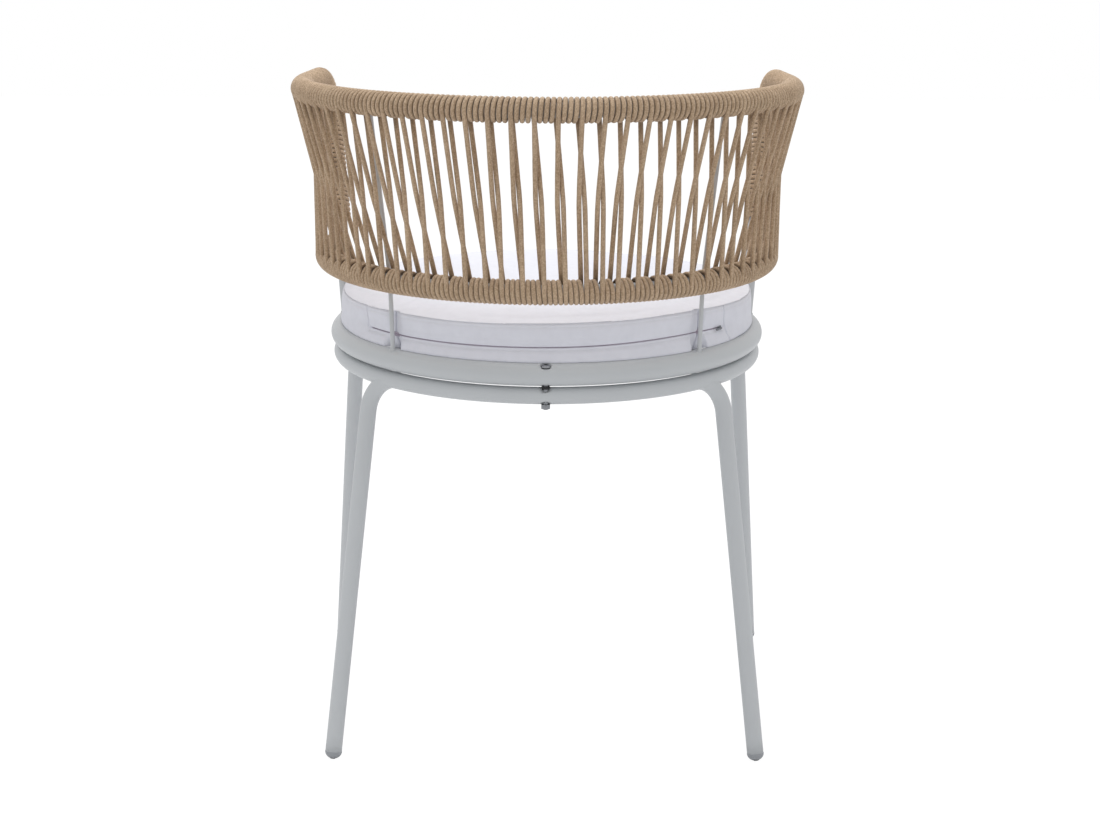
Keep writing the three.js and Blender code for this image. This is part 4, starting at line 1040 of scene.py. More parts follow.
def make_lacing():
    """Two ropes wind along both rails in turn. At every station one leaves the top rail's outer side for the
    lower rail's inner side, and the other rises from the lower rail's outer side to the top rail's inner
    side."""
    sizes = bpy.context.scene.chair_rope
    top, low = rails()
    radius = bpy.context.scene.chair_frame.back_tube / 2 + sizes.rope / 2
    down_lean, up_lean = lean_angles(radius)
    down, up = down_lean / (2 * math.pi), up_lean / (2 * math.pi)
    top_outer, top_inner, low_inner, low_outer = station_places()
    steps = sizes.turn_steps
    laces = []
    for parity in (1, 0):
        runs = []
        if parity:
            reach = math.floor((low.run[-1] - LOW_END_GAP - low_outer[-1]) / sizes.lower_pitch - 0.5)
            start = low_outer[-1] + sizes.lower_pitch * 0.5
            runs.append(winding(low, start, sizes.lower_pitch, -reach, 0.5 - up, -1, radius, steps))
        else:
            start = top_outer[-1] + sizes.top_pitch * (TOP_TURNS - 0.5)
            runs.append(winding(top, start, sizes.top_pitch, 0.0, TOP_TURNS - 0.5 + down, 1, radius, steps))
        for i in range(STATIONS - 1, -1, -1):
            if i % 2 == parity:
                turns = TOP_TURNS - 0.5 + (down if i else 0.0)
                wound = winding(top, top_inner[i], sizes.top_pitch, up, turns, 1, radius, steps)
            else:
                last = math.floor((low_inner[0] + low.run[-1] - LOW_END_GAP) / sizes.lower_pitch * 2) / 2
                turns = LOWER_TURNS[i - 1] - 0.5 - up if i else last
                wound = winding(low, low_inner[i], sizes.lower_pitch, -down, turns, -1, radius, steps)
            begin, normal = runs[-1][0][-1], runs[-1][1][-1]
            end = wound[0][0]
            middle = (begin + end) / 2 - [0, AXIS_Y, 0]
            aside = unit(np.array([-middle[1], middle[0], 0.0]))
            side = 1 if i % 2 == parity else -1
            runs += [strand(begin, end, aside * side * sizes.bow, normal), wound]
        path = np.concatenate([r[0] for r in runs])
        guide = np.concatenate([r[1] for r in runs])
        wound = np.concatenate([np.full(len(r[0]), 1.0 - i % 2) for i, r in enumerate(runs)])
        wound = np.convolve(np.pad(wound, 4, "edge"), np.ones(9) / 9, "valid")
        wide = (sizes.pulled + (sizes.wound - sizes.pulled) * wound) / 2
        name = "lacing_rope_first" if parity else "lacing_rope_second"
        laces.append(tube(name, path, guide, wide, sizes.sides, "braided_rope"))
        shade_grooves(laces[-1], wound, sizes.sides)
    wraps = ("top_rail_wrap", "lower_rail_wrap")
    for lace in laces:
        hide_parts(*wraps, *[f"back_lacing_{i}" for i in range(1, 9)])


def make_arm_ropes():
    """The rope's turns beyond the last stations: along the arm, round its corner and down the post to just
    above the lower rail."""
    sizes = bpy.context.scene.chair_rope
    top = rails()[0]
    radius = bpy.context.scene.chair_frame.back_tube / 2 + sizes.rope / 2
    top_outer, top_inner = station_places()[:2]
    clear = LOWER_RAIL_HEIGHT + radius + sizes.rope / 2 + POST_ROPE_RISE
    steep = abs(float(unit(top.place[-1] - top.place[-20])[2]))
    post_end = top.run[-1] - (clear - ring_height("seat_ring")) / steep - POST_ROPE_STOP
    for name, side in (("left", -1), ("right", 1)):
        if side < 0:
            start, first = top_inner[0], TOP_TURNS - 0.5
            last = math.floor((start + post_end) / sizes.top_pitch)
            path, guide = winding(top, start, sizes.top_pitch, first, last, 1, radius, sizes.turn_steps)
        else:
            start = top_outer[-1] + sizes.top_pitch * (TOP_TURNS - 0.5)
            turns = math.floor((post_end - start) / sizes.top_pitch)
            path, guide = winding(top, start, sizes.top_pitch, -turns, 0.0, 1, radius, sizes.turn_steps)
        rope = tube(f"arm_rope_{name}", path, guide, sizes.wound / 2, sizes.sides, "braided_rope")
        shade_grooves(rope, np.ones(len(path)), sizes.sides)
        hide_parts(f"post_wrap_{name}", f"arm_corner_wrap_{name}")


# The cushion and its zip

# Heights of the top seam and of the zip by angle, in degrees and millimetres, which are smoothed between
TOP_SEAM_LINE = (
    *((-180, 508.0), (-77, 508.2), (-60, 508.6), (-45, 510.0), (-30, 509.8), (0, 511.8)),
    *((20, 512.8), (37, 514.4), (47, 513.4), (58, 511.0), (80, 509.6), (180, 508.0)),
)
ZIP_LINE = (
    *((-180, 484.0), (-57, 484.0), (-25, 484.3), (0, 485.0), (14, 485.6)),
    *((28, 487.2), (38, 488.2), (48, 487.8), (57, 486.4), (180, 486.0)),
)

# The cushion: widths and depths of its lines, where the zip lies between its seams, and its puckers
ZIP_SHARE = 0.4
LOW_SEAM_RISE = 1.4 * MM
SEAM_WIDTH = 1.1 * MM
STITCH_DROP, STITCH_WIDTH, STITCH_DEPTH = 4.2 * MM, 0.8 * MM, 0.4 * MM
PUCKER_DEPTH, PUCKER_TOP, PUCKER_LOW = 0.45 * MM, 5 * MM, 4 * MM
LUMP_DEPTH, ROLL_DEPTH = 0.45 * MM, 0.5 * MM
CHANNEL_HALF, CHANNEL_GAP = 4.4 * MM, 0.25 * MM
SLIT_HALF, SLIT_DEPTH = 0.7 * MM, 1.3 * MM
END_SEAM_WIDTH, END_SEAM_DEPTH = 0.8 * MM, 2.6 * MM
END_SEAM_FOOT = 0.36
CREASE_WIDTH, CREASE_DEPTH = 1.1 * MM, 4.5 * MM
HOLLOW_WIDTH, HOLLOW_DEPTH = 5.0 * MM, 1.2 * MM

# The underside's sag: its depth, and where it grows by distance before or behind the middle and by radius
SAG = 1.5 * MM
SAG_DISTANCES, SAG_RADII = (178 * MM, 190 * MM), (150 * MM, 215 * MM)

# Where a line runs up its side, the grid's spacing, the steps to each side, and where even angles go on
FINE_STEP, FINE_STEPS, FINE_CLEAR = 0.5 * MM, 16, 8.3 * MM

# How the posts and rods press it in: how deep past the tube's inner face, and how wide
POST_GAP, POST_DIP = 1.3 * MM, 15 * MM
ROD_GAP, ROD_DIP = 0.6 * MM, 6.5 * MM

# Its side: where the drawn back ends by angle, and the flares and the belly
BACK_EDGE = (math.radians(56), math.radians(68))
TOP_FLARE, LOW_FLARE, SIDE_FLARE, BELLY = 2.6 * MM, 8.4 * MM, 3.6 * MM, 2.0 * MM

# The end seams by angle past the zip's ends and lean, and the creases by angle
END_SEAMS = ((0.028, 0.0), (0.022, 0.035))
ROD_CREASES = (math.radians(-45.0), math.radians(45.7))

# How far it follows the filled copy at the side and on top, and the most on top
FILL_SIDE, FILL_TOP, FILL_TOP_MOST = 0.3, 0.45, 3 * MM

# The zip: the tape's section by depth and height, and the sizes of the coil, the slider and the pull
TAPE_SECTION = ((-2.1, -2.4), (-1.3, -2.4), (-1.1, -0.9), (-1.1, 0.9), (-1.3, 2.4), (-2.1, 2.4))
COIL_PITCH = 1.3 * MM
COIL_THREAD = 0.22 * MM
COIL_DEPTH = 0.55 * MM
COIL_SWING = (0.3 * MM, 0.6 * MM)
SLIDER_SIZE = (8.8 * MM, 5.2 * MM, 1.2 * MM)
SLIDER_EDGE = 0.45 * MM
SLIDER_TAPER = 0.2
BRIDGE_FOOT = 1.0 * MM
BRIDGE_HALF = 2.6 * MM
BRIDGE_RISE = 1.9 * MM
BRIDGE_WIRE = 0.45 * MM
PULL_SIZE = (13 * MM, 3.2 * MM, 0.8 * MM)
PULL_EDGE = 0.3 * MM
PULL_WAIST, PULL_WAIST_DEPTH = 3.2 * MM, 0.25
PULL_OVERHANG = 1.2 * MM
PULL_GAP = 0.95 * MM

# The cloth simulation that fills the cushion: its frames, and its settings by name
FILL_FRAMES = 20
FILL_GRID = 6 * MM
FILL_SETTINGS = {
    "quality": 5,
    "mass": 0.25,
    "use_pressure": True,
    "uniform_pressure_force": 4.0,
    "tension_stiffness": 12.0,
    "compression_stiffness": 12.0,
    "bending_stiffness": 0.3,
}


def smooth(value, low, high):
    """0 below low, 1 above high, and 3t^2 - 2t^3 between."""
    t = np.clip((value - low) / (high - low), 0, 1)
    return t * t * (3 - 2 * t)


def dip(value, width):
    """A rounded dip of depth 1: exp(-(value / width)^2)."""
    return np.exp(-((value / width) ** 2))


def height_along(table, angle):
    """A height by angle: straight between the table's places, averaged over 12 degrees."""
    places, heights = np.radians([k[0] for k in table]), np.array([k[1] for k in table]) * MM
    return sum(np.interp(angle + shift, places, heights) for shift in np.radians([-6, -3, 0, 3, 6])) / 5


def line_at(foot, tip, z):
    """The radius and angle, about the seat's axis, of a straight line's place at a height."""
    share = (z - foot[2]) / (tip[2] - foot[2])
    x, y = foot[0] + (tip[0] - foot[0]) * share, foot[1] + (tip[1] - foot[1]) * share - AXIS_Y
    return np.hypot(x, y), np.abs(np.arctan2(-x, y))


def held_in(radius, angle, z):
    """The cushion's side pressed in by the posts and the rods. Round each, the radius falls by a dip that
    reaches just inside the tube's inner face. The dip for a rod is as wide and as deep as the rod's path is
    when the cushion is lifted past its waist."""
    sizes = bpy.context.scene.chair_frame
    half = hoop_half()
    post, lean = line_at(half[-1], half[-2], z)
    off = (np.abs(angle) - lean) * post
    radius = radius - np.maximum(radius - (post - sizes.back_tube / 2 - POST_GAP), 0) * dip(off, POST_DIP)
    foot, waist = rod_points(1)[:2]
    _, lean = line_at(foot, waist, z)
    rod, last = line_at(foot, waist, waist[2])
    off = (np.abs(angle) - (lean + last) / 2) * rod
    wide = np.maximum(last - lean, 0) / 2 * rod + ROD_DIP
    return radius - np.maximum(radius - (rod - sizes.rod / 2 - ROD_GAP), 0) * np.exp(-((off / wide) ** 8))


def side_radius(angle, share):
    """The side's radius by angle and by share of the height between the seams. The back, where the zip is, is
    drawn in at the zip and flares to its lower edge. The rest is a belly, sin(pi share) ^ 0.7, with a smaller
    flare."""
    sizes = bpy.context.scene.chair_cushion
    back = 1 - smooth(np.abs(angle), *BACK_EDGE)
    drawn = sizes.back_radius + TOP_FLARE * smooth(share, 0.42, 0.9)
    drawn = drawn + LOW_FLARE * np.exp(-((share / 0.25) ** 1.3))
    belly = sizes.swell_radius - BELLY + BELLY * np.sin(math.pi * np.clip(share, 0, 1)) ** 0.7
    belly = belly + SIDE_FLARE * np.exp(-((share / 0.16) ** 1.6))
    return drawn * back + belly * (1 - back)


def creases():
    """The lines that run up the cushion's side: the angle and the lean of the end seams of the zip's panel,
    and the angles of the creases beside the rods."""
    half = bpy.context.scene.chair_cushion.zip_half_angle
    (before, lean_before), (after, lean_after) = END_SEAMS
    return ((-half - before, lean_before), (half + after, lean_after)), ROD_CREASES


def cushion_angles():
    """Even angles round the cushion, with more of them, 0.5 mm apart, where a line runs up its side."""
    sizes = bpy.context.scene.chair_cushion
    ends, rods = creases()
    lines = [e[0] for e in ends] + list(rods)
    steps = np.arange(-FINE_STEPS, FINE_STEPS + 1) * FINE_STEP
    fine = [line + steps / sizes.back_radius for line in lines]
    even = np.linspace(-math.pi, math.pi, sizes.columns, endpoint=False)
    clear = np.min([np.abs(even - line) for line in lines], axis=0) > FINE_CLEAR / sizes.back_radius
    return np.sort(np.concatenate([even[clear], *fine]))


def cushion_grid():
    """The cushion's plain shape as rows of points: the underside from the middle out, the side, whose rows
    follow the zip, and the top from its seam to the middle, whose rise is crown x (1 - u^power)^0.8 at a
    share u of its radius."""
    sizes = bpy.context.scene.chair_cushion
    angle = cushion_angles()[None]
    under = np.linspace(0.05, 0.99, 30)[:, None]
    mid = ZIP_SHARE
    near_zip = np.linspace(mid - 0.12, mid + 0.12, 33)
    side = np.concatenate([np.linspace(0, mid - 0.13, 12), near_zip, np.linspace(mid + 0.13, 1, 26)])[:, None]
    over = np.concatenate([np.linspace(0.995, 0.9, 12), np.linspace(0.88, 0.03, 28)])[:, None]
    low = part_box("cushion")[0].z + 0.1 * MM
    low_seam, top_seam = low + LOW_SEAM_RISE, height_along(TOP_SEAM_LINE, angle)
    zip_z = height_along(ZIP_LINE, angle)
    below = low_seam + (zip_z - low_seam) * side / mid
    above = zip_z + (top_seam - zip_z) * (side - mid) / (1 - mid)
    band_z = np.where(side < mid, below, above)
    band = held_in(side_radius(angle, (band_z - low_seam) / (top_seam - low_seam)), angle, band_z)
    rise = sizes.crown * (1 - over**sizes.crown_power) ** 0.8
    settle = np.mean(top_seam) + (top_seam - np.mean(top_seam)) * over**2
    radius = np.concatenate([band[:1] * under, band, band[-1:] * over])
    z = np.concatenate([low + 0 * band[:1] * under, band_z, settle + rise])
    return radius, np.broadcast_to(angle, radius.shape), z, len(under), len(under) + len(side) - 1


def filled(piece, rows, columns):
    """How far each point of a closed piece moves as it is filled: a copy is remeshed evenly and swells under
    pressure as cloth, the piece is drawn to its nearest places, and the moves are capped and averaged with
    their neighbours."""
    sizes = bpy.context.scene.chair_cushion
    scene = bpy.context.scene
    blob = bpy.data.objects.new("filling", piece.data.copy())
    scene.collection.objects.link(blob)
    remesh = blob.modifiers.new("even", "REMESH")
    remesh.mode, remesh.voxel_size = "VOXEL", FILL_GRID
    apply_modifiers(blob)
    cloth = blob.modifiers.new("cloth", "CLOTH")
    for key, value in FILL_SETTINGS.items():
        setattr(cloth.settings, key, value)
    cloth.settings.effector_weights.gravity = 0.0
    cloth.point_cache.frame_start, cloth.point_cache.frame_end = 1, FILL_FRAMES
    for step in range(1, FILL_FRAMES + 1):
        scene.frame_set(step)
    apply_modifiers(blob)
    scene.frame_set(1)
    before = read_points(piece)
    wrap = piece.modifiers.new("follow", "SHRINKWRAP")
    wrap.wrap_method, wrap.target = "NEAREST_SURFACEPOINT", blob
    apply_modifiers(piece)
    move = read_points(piece) - before
    size = np.linalg.norm(move, axis=1, keepdims=True)
    move = (move * np.minimum(size, sizes.swell_cap) / np.maximum(size, 1e-9)).reshape(rows, columns, 3)
    move = sum(np.roll(move, k, 1) for k in range(-7, 8)) / 15
    bpy.data.objects.remove(blob)
    padded = np.pad(move, ((2, 2), (0, 0), (0, 0)), "edge")
    return sum(padded[k : k + rows] for k in range(5)) / 5


def make_cushion():
    """A round box cushion, filled by cloth simulation and held in by the rods and the posts. Its seams, the
    zip's channel and slit, the zip panel's end seams, the creases beside the rods and the puckers are dips
    along their lines."""
    sizes = bpy.context.scene.chair_cushion
    radius, angle, z, first, last = cushion_grid()
    rows, columns = radius.shape
    faces, row, column = grid_faces(rows, columns, False, True)
    around = np.append(angle[0], angle[0, 0] + 2 * math.pi)[column]
    plain = radius.mean(1)[row]
    level = np.stack([plain * np.cos(around), plain * np.sin(around)], -1)
    upright = np.stack([sizes.back_radius * around, z.mean(1)[row]], -1)
    on_side = ((row.min(1) >= first) & (row.max(1) <= last))[:, None, None]
    ends = [np.arange(columns)[::-1], (rows - 1) * columns + np.arange(columns)]
    points, pattern = on_circle(radius, angle, z), np.where(on_side, upright, level)
    cushion = new_piece("cushion_cover", points, faces, "cushion_cloth", "cushion_body", pattern, ends)
    number = np.arange(rows)[:, None]
    band, top = (number >= first) & (number <= last), number > last
    low_seam, top_seam = z[first][None], z[last][None]
    share = np.clip((z - low_seam) / (top_seam - low_seam), 0, 1)
    move = filled(cushion, rows, columns)
    outward = -move[..., 0] * np.sin(angle) + move[..., 1] * np.cos(angle)
    radius = radius + np.where(band, FILL_SIDE * outward, 0)
    z = z + np.where(top, FILL_TOP * np.minimum(move[..., 2], FILL_TOP_MOST), 0)

    # Soft unevenness of the filling
    lump = 0.5 * np.sin(3 * angle + 0.7) + 0.35 * np.sin(7 * angle + 2.1 + 20 * z)
    lump = lump + 0.25 * np.sin(13 * angle + 4.0 - 55 * z)
    radius = radius + np.where(band, LUMP_DEPTH * lump * np.sin(math.pi * share), 0)
    roll = np.sin(-9 * radius * np.sin(angle) / 0.24 + 1.3) * np.sin(7 * radius * np.cos(angle) / 0.24 + 0.4)
    z = z + np.where(top, ROLL_DEPTH * roll * smooth(sizes.back_radius - radius, 0, 0.06), 0)
    radius = np.where(band, np.minimum(radius, held_in(radius, angle, z)), radius)

    # Seams round both edges, each with its puckers, and a row of stitches under the top one
    pucker = 0.5 + 0.3 * np.sin(119 * angle + 1.5 * np.sin(5 * angle)) + 0.2 * np.sin(67 * angle + 2.0)
    edge_top, edge_low = radius[last][None], radius[first][None]
    near_top = np.hypot(z - top_seam, np.where(band, 0, edge_top - radius))
    near_low = np.hypot(z - low_seam, np.where(band, 0, edge_low - radius))
    radius = radius - sizes.seam_depth * (dip(near_top, SEAM_WIDTH) + 0.7 * dip(near_low, SEAM_WIDTH))
    radius = radius - np.where(band, STITCH_DEPTH * dip(top_seam - STITCH_DROP - z, STITCH_WIDTH), 0)
    puckered = dip(near_top, PUCKER_TOP) + dip(near_low, PUCKER_LOW)
    radius = radius - PUCKER_DEPTH * pucker * puckered * np.where(top, 0.4, 1)

    # The zip's panel: a shallow channel that the slider runs in, the slit, and a seam at each end
    half = sizes.zip_half_angle
    inside = smooth(half + 0.02 - np.abs(angle), 0, 0.012)
    slit = z - height_along(ZIP_LINE, angle)
    channel = np.maximum(radius - (zip_face() + CHANNEL_GAP), 0) * np.exp(-((slit / CHANNEL_HALF) ** 4))
    radius = radius - np.where(band, inside * channel, 0)
    opened = np.maximum(radius - (zip_face() - SLIT_DEPTH), 0)
    radius = radius - np.where(band, inside * opened * np.exp(-((slit / SLIT_HALF) ** 4)), 0)
    ends, rods = creases()
    for end, lean in ends:
        off = (angle - end - lean * (0.5 - share)) * sizes.back_radius
        bottom = 0.0 if lean else END_SEAM_FOOT
        line = dip(off, END_SEAM_WIDTH) * smooth(share, bottom - 0.02, bottom + 0.02)
        radius = radius - np.where(band, END_SEAM_DEPTH * line, 0)
    for place in rods:
        drift = math.radians(1.5) * (1 - smooth(z, low_seam, 488 * MM))
        off = np.where(angle * place > 0, (np.abs(angle) - abs(place) + drift) * sizes.back_radius, 1.0)
        crease = CREASE_DEPTH * dip(off, CREASE_WIDTH) + HOLLOW_DEPTH * dip(off, HOLLOW_WIDTH)
        radius = radius - np.where(band, crease * smooth(top_seam - z, -1 * MM, 3 * MM), 0)

    # The underside lies on the slats, sags a little behind them, and rests on the seat ring's crown
    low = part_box("cushion")[0].z
    depth = np.abs(radius * np.cos(angle))
    sag = SAG * smooth(depth, *SAG_DISTANCES) * smooth(radius, *SAG_RADII)
    z = np.where(band | top, z, low - sag)
    ring = bpy.context.scene.chair_frame
    reach = ring.seat_tube / 2 + FIT
    over = np.sqrt(np.maximum(reach**2 - (radius - ring.ring_radius) ** 2, 0)) + ring_height("seat_ring")
    z = np.where(top, z, np.maximum(z, np.where(np.abs(radius - ring.ring_radius) < reach, over, z)))
    write_points(cushion, on_circle(radius, angle, z).reshape(-1, 3))
    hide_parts("cushion")


def zip_face():
    """The radius of the zip tape's outer face, from the part's own tape."""
    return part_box("zip_tape")[1].y - AXIS_Y


def around_zip(radius, angle, z, across, out, up):
    """Points given by a place across, outwards and up from a place on the zip: the centre plus across x
    tangent + out x radial + up x vertical."""
    centre = on_circle(radius, angle, z)
    tangent = np.array([math.cos(angle), math.sin(angle), 0.0])
    radial = np.array([-math.sin(angle), math.cos(angle), 0.0])
    level = centre + across[..., None] * tangent + out[..., None] * radial
    return level + up[..., None] * np.array([0.0, 0.0, 1.0])


def racetrack(long, wide, count=40):
    """A rounded oblong's outline: |x / a|^n + |y / b|^n = 1 with n = 3.2."""
    t = np.linspace(0, 2 * math.pi, count, endpoint=False)
    c, s = np.cos(t), np.sin(t)
    grow = (np.abs(c) ** 3.2 + np.abs(s) ** 3.2) ** (-1 / 3.2)
    return np.stack([long / 2 * c * grow, wide / 2 * s * grow], -1)


def slab_sections(outline, thickness, edge):
    """Outline copies that make a slab with rounded edges: each is drawn in by the edge's radius near the two
    faces."""
    size = np.abs(outline).max(0)
    rows, outs = [], []
    for turn in np.linspace(-math.pi / 2, math.pi / 2, 8):
        draw = edge * (1 - math.cos(turn))
        rows.append(outline * (1 - draw / size))
        outs.append(np.full(len(outline), math.sin(turn) * edge + math.copysign(thickness / 2 - edge, turn)))
    return np.array(rows), np.array(outs)


def make_zip():
    """The zip: a woven tape bent round the cushion with a coil of teeth along its slit, a slider with a
    bridge over it, and a waisted pull."""
    sizes = bpy.context.scene.chair_cushion
    half = sizes.zip_half_angle
    face = zip_face()
    angle = np.linspace(-half, half, 280)
    line = height_along(ZIP_LINE, angle)
    section = np.array(TAPE_SECTION) * MM
    points = on_circle(face + section[None, :, 0], angle[:, None], line[:, None] + section[None, :, 1])
    faces, row, column = grid_faces(len(angle), len(section), False, True)
    corners = np.stack([angle[np.minimum(row, len(angle) - 1)] * face, column / len(section)], -1)
    ends = [np.arange(len(section))[::-1], (len(angle) - 1) * len(section) + np.arange(len(section))]
    tape = new_piece("zip_tape_strip", points, faces, "zip_tape", "cushion_body", corners, ends)
    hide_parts("zip_tape")

    # The teeth are one coil of nylon: a flattened helix along the slit
    turns = int(2 * half * face / COIL_PITCH)
    t = np.linspace(0, 1, turns * 8)
    at, swing = -half + 2 * half * t, 2 * math.pi * turns * t
    out, up = COIL_SWING
    path = on_circle(
        face - COIL_DEPTH + out * np.sin(swing), at, height_along(ZIP_LINE, at) + up * np.cos(swing)
    )
    guide = np.broadcast_to([0.0, 0.0, 1.0], path.shape)
    tube("zip_coil", path, guide, COIL_THREAD, 5, "zip_tape", body="cushion_body", look="zip_coil")

    low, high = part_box("zip_slider")
    x, y, z = (low + high) / 2
    place = math.atan2(-x, y - AXIS_Y)
    inner = slider_face()
    long, wide, thick = SLIDER_SIZE
    outline, outs = slab_sections(racetrack(long, wide), thick, SLIDER_EDGE)
    taper = 1 - SLIDER_TAPER * smooth(outline[..., 0], 0, long / 2)
    points = around_zip(inner + thick / 2, place, z, outline[..., 0], outs, outline[..., 1] * taper)
    slider = closed_loft("zip_slider_body", points, "slider_body")
    arch = np.linspace(-1, 1, 40)
    rise = BRIDGE_RISE * np.sqrt(np.maximum(1 - arch**4, 0))
    path = resample(around_zip(inner + BRIDGE_FOOT, place, z, BRIDGE_HALF * arch, rise, 0 * arch), 0.3 * MM)
    guide = np.broadcast_to([0.0, 0.0, 1.0], path.shape)
    tube("zip_slider_bridge", path, guide, BRIDGE_WIRE, 10, "zip_metal", body="slider_body")
    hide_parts("zip_slider")

    # The pull: a flat waisted tab, rounded at both ends, that lies back along the zip
    long, wide, thick = PULL_SIZE
    outline, outs = slab_sections(racetrack(long, wide), thick, PULL_EDGE)
    waist = 1 - PULL_WAIST_DEPTH * dip(outline[..., 0], PULL_WAIST)
    pin = inner + BRIDGE_FOOT + BRIDGE_RISE + PULL_GAP
    points = around_zip(
        pin, place, z, outline[..., 0] + long / 2 - PULL_OVERHANG, outs, outline[..., 1] * waist
    )
    pull = closed_loft("zip_pull_tab", points, "pull_body")
    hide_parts("zip_pull")


def slider_face():
    """The radius at which the part's own slider begins, just outside the cushion's side."""
    low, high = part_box("cushion")
    return (high.x - low.x) / 2 + FIT


def closed_loft(name, points, body):
    """A skin over rows of points, with a flat face on the first and the last row."""
    count = points.shape[1]
    faces, _, _ = grid_faces(len(points), count, False, True)
    ends = [np.arange(count)[::-1], (len(points) - 1) * count + np.arange(count)]
    return new_piece(name, points, faces, "zip_metal", body, None, ends)


# The stage


def make_stage():
    """A white floor that keeps a soft shadow, plain light from all round with a soft lamp above, and the
    camera at the photograph's view."""
    scene = bpy.context.scene
    corners = np.array([(-1, -1, 0), (1, -1, 0), (1, 1, 0), (-1, 1, 0)], float)
    points = corners * FLOOR_HALF - [0, 0, FLOOR_DROP]
    mesh = bpy.data.meshes.new("floor")
    mesh.from_pydata(points.tolist(), [], [(0, 1, 2, 3)])
    floor = bpy.data.objects.new("floor", mesh)
    scene.collection.objects.link(floor)
    material = bpy.data.materials.new("white_floor")
    material.use_nodes = True
    tree = material.node_tree
    tree.nodes.clear()
    rays = add_node(tree, "LightPath")
    seen = add_node(
        tree, "Math", {0: rays.outputs["Is Camera Ray"], 1: FLOOR_SEEN_WHITE}, operation="MULTIPLY"
    )
    white = add_node(tree, "Emission", {"Color": (1, 1, 1, 1), "Strength": FLOOR_WHITE})
    matt = add_node(tree, "BsdfDiffuse", {"Color": FLOOR_COLOUR})
    mix = add_node(tree, "MixShader", {0: seen, 1: matt, 2: white})
    add_node(tree, "OutputMaterial", {"Surface": mix})
    mesh.materials.append(material)

    world = bpy.data.worlds.new("studio")
    scene.world = world
    world.use_nodes = True
    tree = world.node_tree
    tree.nodes.clear()
    rays = add_node(tree, "LightPath")
    either = add_node(
        tree,
        "Math",
        {0: rays.outputs["Is Camera Ray"], 1: rays.outputs["Is Glossy Ray"]},
        operation="MAXIMUM",
    )
    seen = add_node(tree, "Math", {0: either, 1: rays.outputs["Is Transmission Ray"]}, operation="MAXIMUM")
    soft = add_node(tree, "Background", {"Color": WORLD_COLOUR, "Strength": WORLD_STRENGTH})
    white = add_node(tree, "Background", {"Color": (1, 1, 1, 1), "Strength": 1.0})
    mix = add_node(tree, "MixShader", {0: seen, 1: soft, 2: white})
    add_node(tree, "OutputWorld", {"Surface": mix})

    for name, place, power, width in LAMPS:
        light = bpy.data.lights.new(name, "AREA")
        light.energy, light.size = power, width
        lamp = bpy.data.objects.new(name, light)
        lamp.location = place
        aim = Vector(LAMP_AIM) - Vector(place)
        lamp.rotation_euler = aim.to_track_quat("-Z", "Y").to_euler()
        scene.collection.objects.link(lamp)

    camera = bpy.data.cameras.new("camera")
    camera.sensor_width = SENSOR_WIDTH
    camera.lens = SENSOR_WIDTH * FOCAL_LENGTH / PHOTO_WIDTH
    camera.clip_start, camera.clip_end = CAMERA_CLIP
    view = bpy.data.objects.new("camera", camera)
    scene.collection.objects.link(view)
    yaw, pitch, roll = CAMERA_YAW, CAMERA_PITCH, CAMERA_ROLL
    forward = Vector((math.sin(yaw) * math.cos(pitch), -math.cos(yaw) * math.cos(pitch), -math.sin(pitch)))
    right = forward.cross(Vector((0, 0, 1))).normalized()
    up = right.cross(forward)
    right, up = math.cos(roll) * right + math.sin(roll) * up, -math.sin(roll) * right + math.cos(roll) * up
    turn = Matrix((right, up, -forward)).transposed().to_4x4()
    x, y, z = CAMERA_PLACE
    view.matrix_world = Matrix.Translation((x, y + AXIS_Y, z)) @ turn
    scene.camera = view
    scene.view_settings.view_transform = "Standard"


# Operators and panel


class CHAIR_OT_rings(bpy.types.Operator):
    """Builds the seat ring and the leg ring"""

    bl_idname = "chair.rings"
    bl_label = "Rings"

    def execute(self, context):
        make_rings()
        return {"FINISHED"}


class CHAIR_OT_legs(bpy.types.Operator):
    """Builds the four legs and their foot caps"""

    bl_idname = "chair.legs"
    bl_label = "Legs"

    def execute(self, context):
        make_legs()
        return {"FINISHED"}


class CHAIR_OT_fasteners(bpy.types.Operator):
    """Builds the screws, washers and nuts that join the rings"""

    bl_idname = "chair.fasteners"
    bl_label = "Fasteners"

    def execute(self, context):
        make_fasteners()
        return {"FINISHED"}


class CHAIR_OT_slats(bpy.types.Operator):
    """Finishes the seat slats"""

    bl_idname = "chair.slats"
    bl_label = "Slats"

    def execute(self, context):
        make_slats()
        return {"FINISHED"}


class CHAIR_OT_back_tubes(bpy.types.Operator):
    """Builds the back hoop, the lower rail and the rods"""

    bl_idname = "chair.back_tubes"
    bl_label = "Back tubes"

    def execute(self, context):
        make_back_tubes()
        return {"FINISHED"}


class CHAIR_OT_lacing(bpy.types.Operator):
    """Builds the two ropes that lace the back"""

    bl_idname = "chair.lacing"
    bl_label = "Lacing"

    def execute(self, context):
        make_lacing()
        return {"FINISHED"}


class CHAIR_OT_arm_ropes(bpy.types.Operator):
    """Builds the rope round the arms' corners and posts"""

    bl_idname = "chair.arm_ropes"
    bl_label = "Arm ropes"

    def execute(self, context):
        make_arm_ropes()
        return {"FINISHED"}


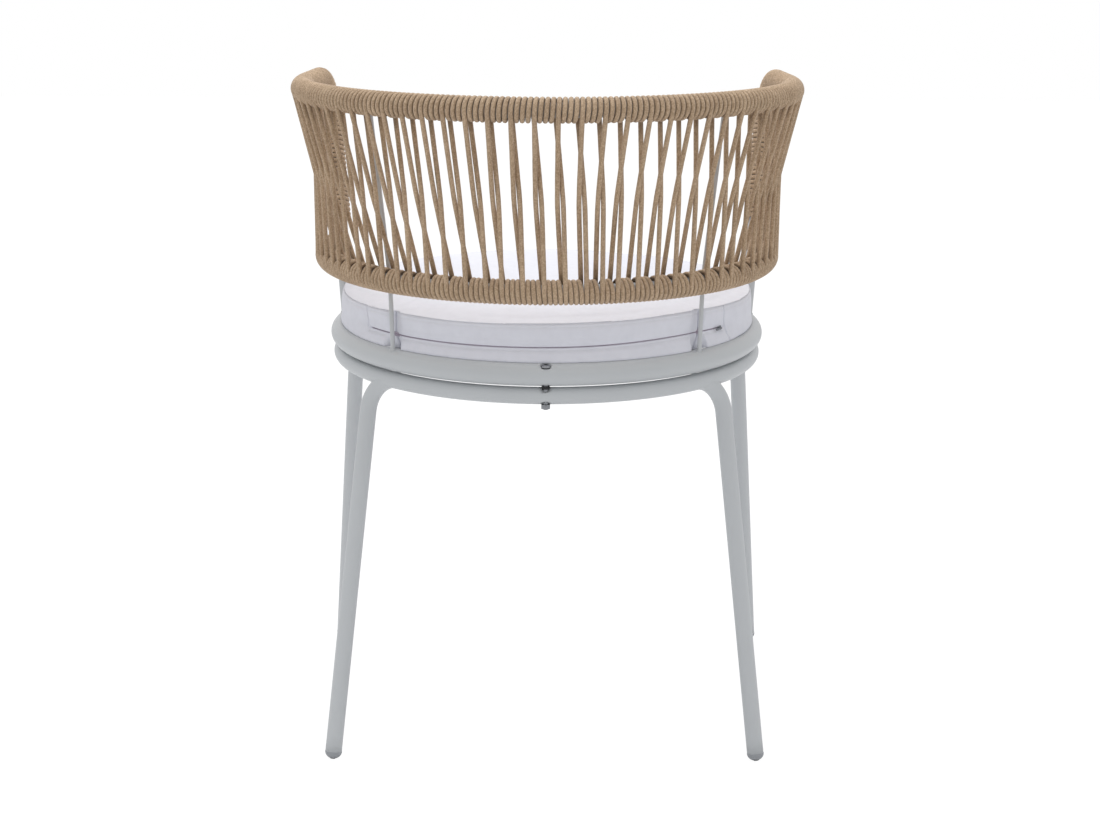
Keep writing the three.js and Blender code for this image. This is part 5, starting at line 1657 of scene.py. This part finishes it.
class CHAIR_OT_cushion(bpy.types.Operator):
    """Builds the cushion"""

    bl_idname = "chair.cushion"
    bl_label = "Cushion"

    def execute(self, context):
        make_cushion()
        return {"FINISHED"}


class CHAIR_OT_zip(bpy.types.Operator):
    """Builds the cushion's zip"""

    bl_idname = "chair.zip"
    bl_label = "Zip"

    def execute(self, context):
        make_zip()
        return {"FINISHED"}


class CHAIR_OT_stage(bpy.types.Operator):
    """Builds the floor, the lamps and the camera"""

    bl_idname = "chair.stage"
    bl_label = "Stage"

    def execute(self, context):
        make_stage()
        return {"FINISHED"}


STEPS = (
    CHAIR_OT_rings,
    CHAIR_OT_legs,
    CHAIR_OT_fasteners,
    CHAIR_OT_slats,
    CHAIR_OT_back_tubes,
    CHAIR_OT_lacing,
    CHAIR_OT_arm_ropes,
    CHAIR_OT_cushion,
    CHAIR_OT_zip,
    CHAIR_OT_stage,
)
GROUPS = {
    "chair_frame": FrameSizes,
    "chair_rope": RopeSizes,
    "chair_cushion": CushionSizes,
    "chair_colours": ChairColours,
}


class CHAIR_PT_panel(bpy.types.Panel):
    """Lists the armchair's sizes, colours and pieces"""

    bl_label = "Armchair"
    bl_idname = "CHAIR_PT_panel"
    bl_space_type = "VIEW_3D"
    bl_region_type = "UI"
    bl_category = "Armchair"

    def draw(self, context):
        for group in GROUPS:
            box = self.layout.box()
            settings = getattr(context.scene, group)
            for name in settings.__annotations__:
                box.prop(settings, name)
        for step in STEPS:
            self.layout.operator(step.bl_idname)


def register():
    """Adds the settings, the operators and the panel."""
    for cls in (*GROUPS.values(), *STEPS, CHAIR_PT_panel):
        bpy.utils.register_class(cls)
    for name, group in GROUPS.items():
        setattr(bpy.types.Scene, name, PointerProperty(type=group))


def unregister():
    """Takes away what register adds."""
    for name in GROUPS:
        delattr(bpy.types.Scene, name)
    for cls in reversed((*GROUPS.values(), *STEPS, CHAIR_PT_panel)):
        bpy.utils.unregister_class(cls)


def main():
    """Registers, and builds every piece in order."""
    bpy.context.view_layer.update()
    register()
    for step in STEPS:
        group, name = step.bl_idname.split(".")
        getattr(getattr(bpy.ops, group), name)()


if __name__ == "__main__":
    main()
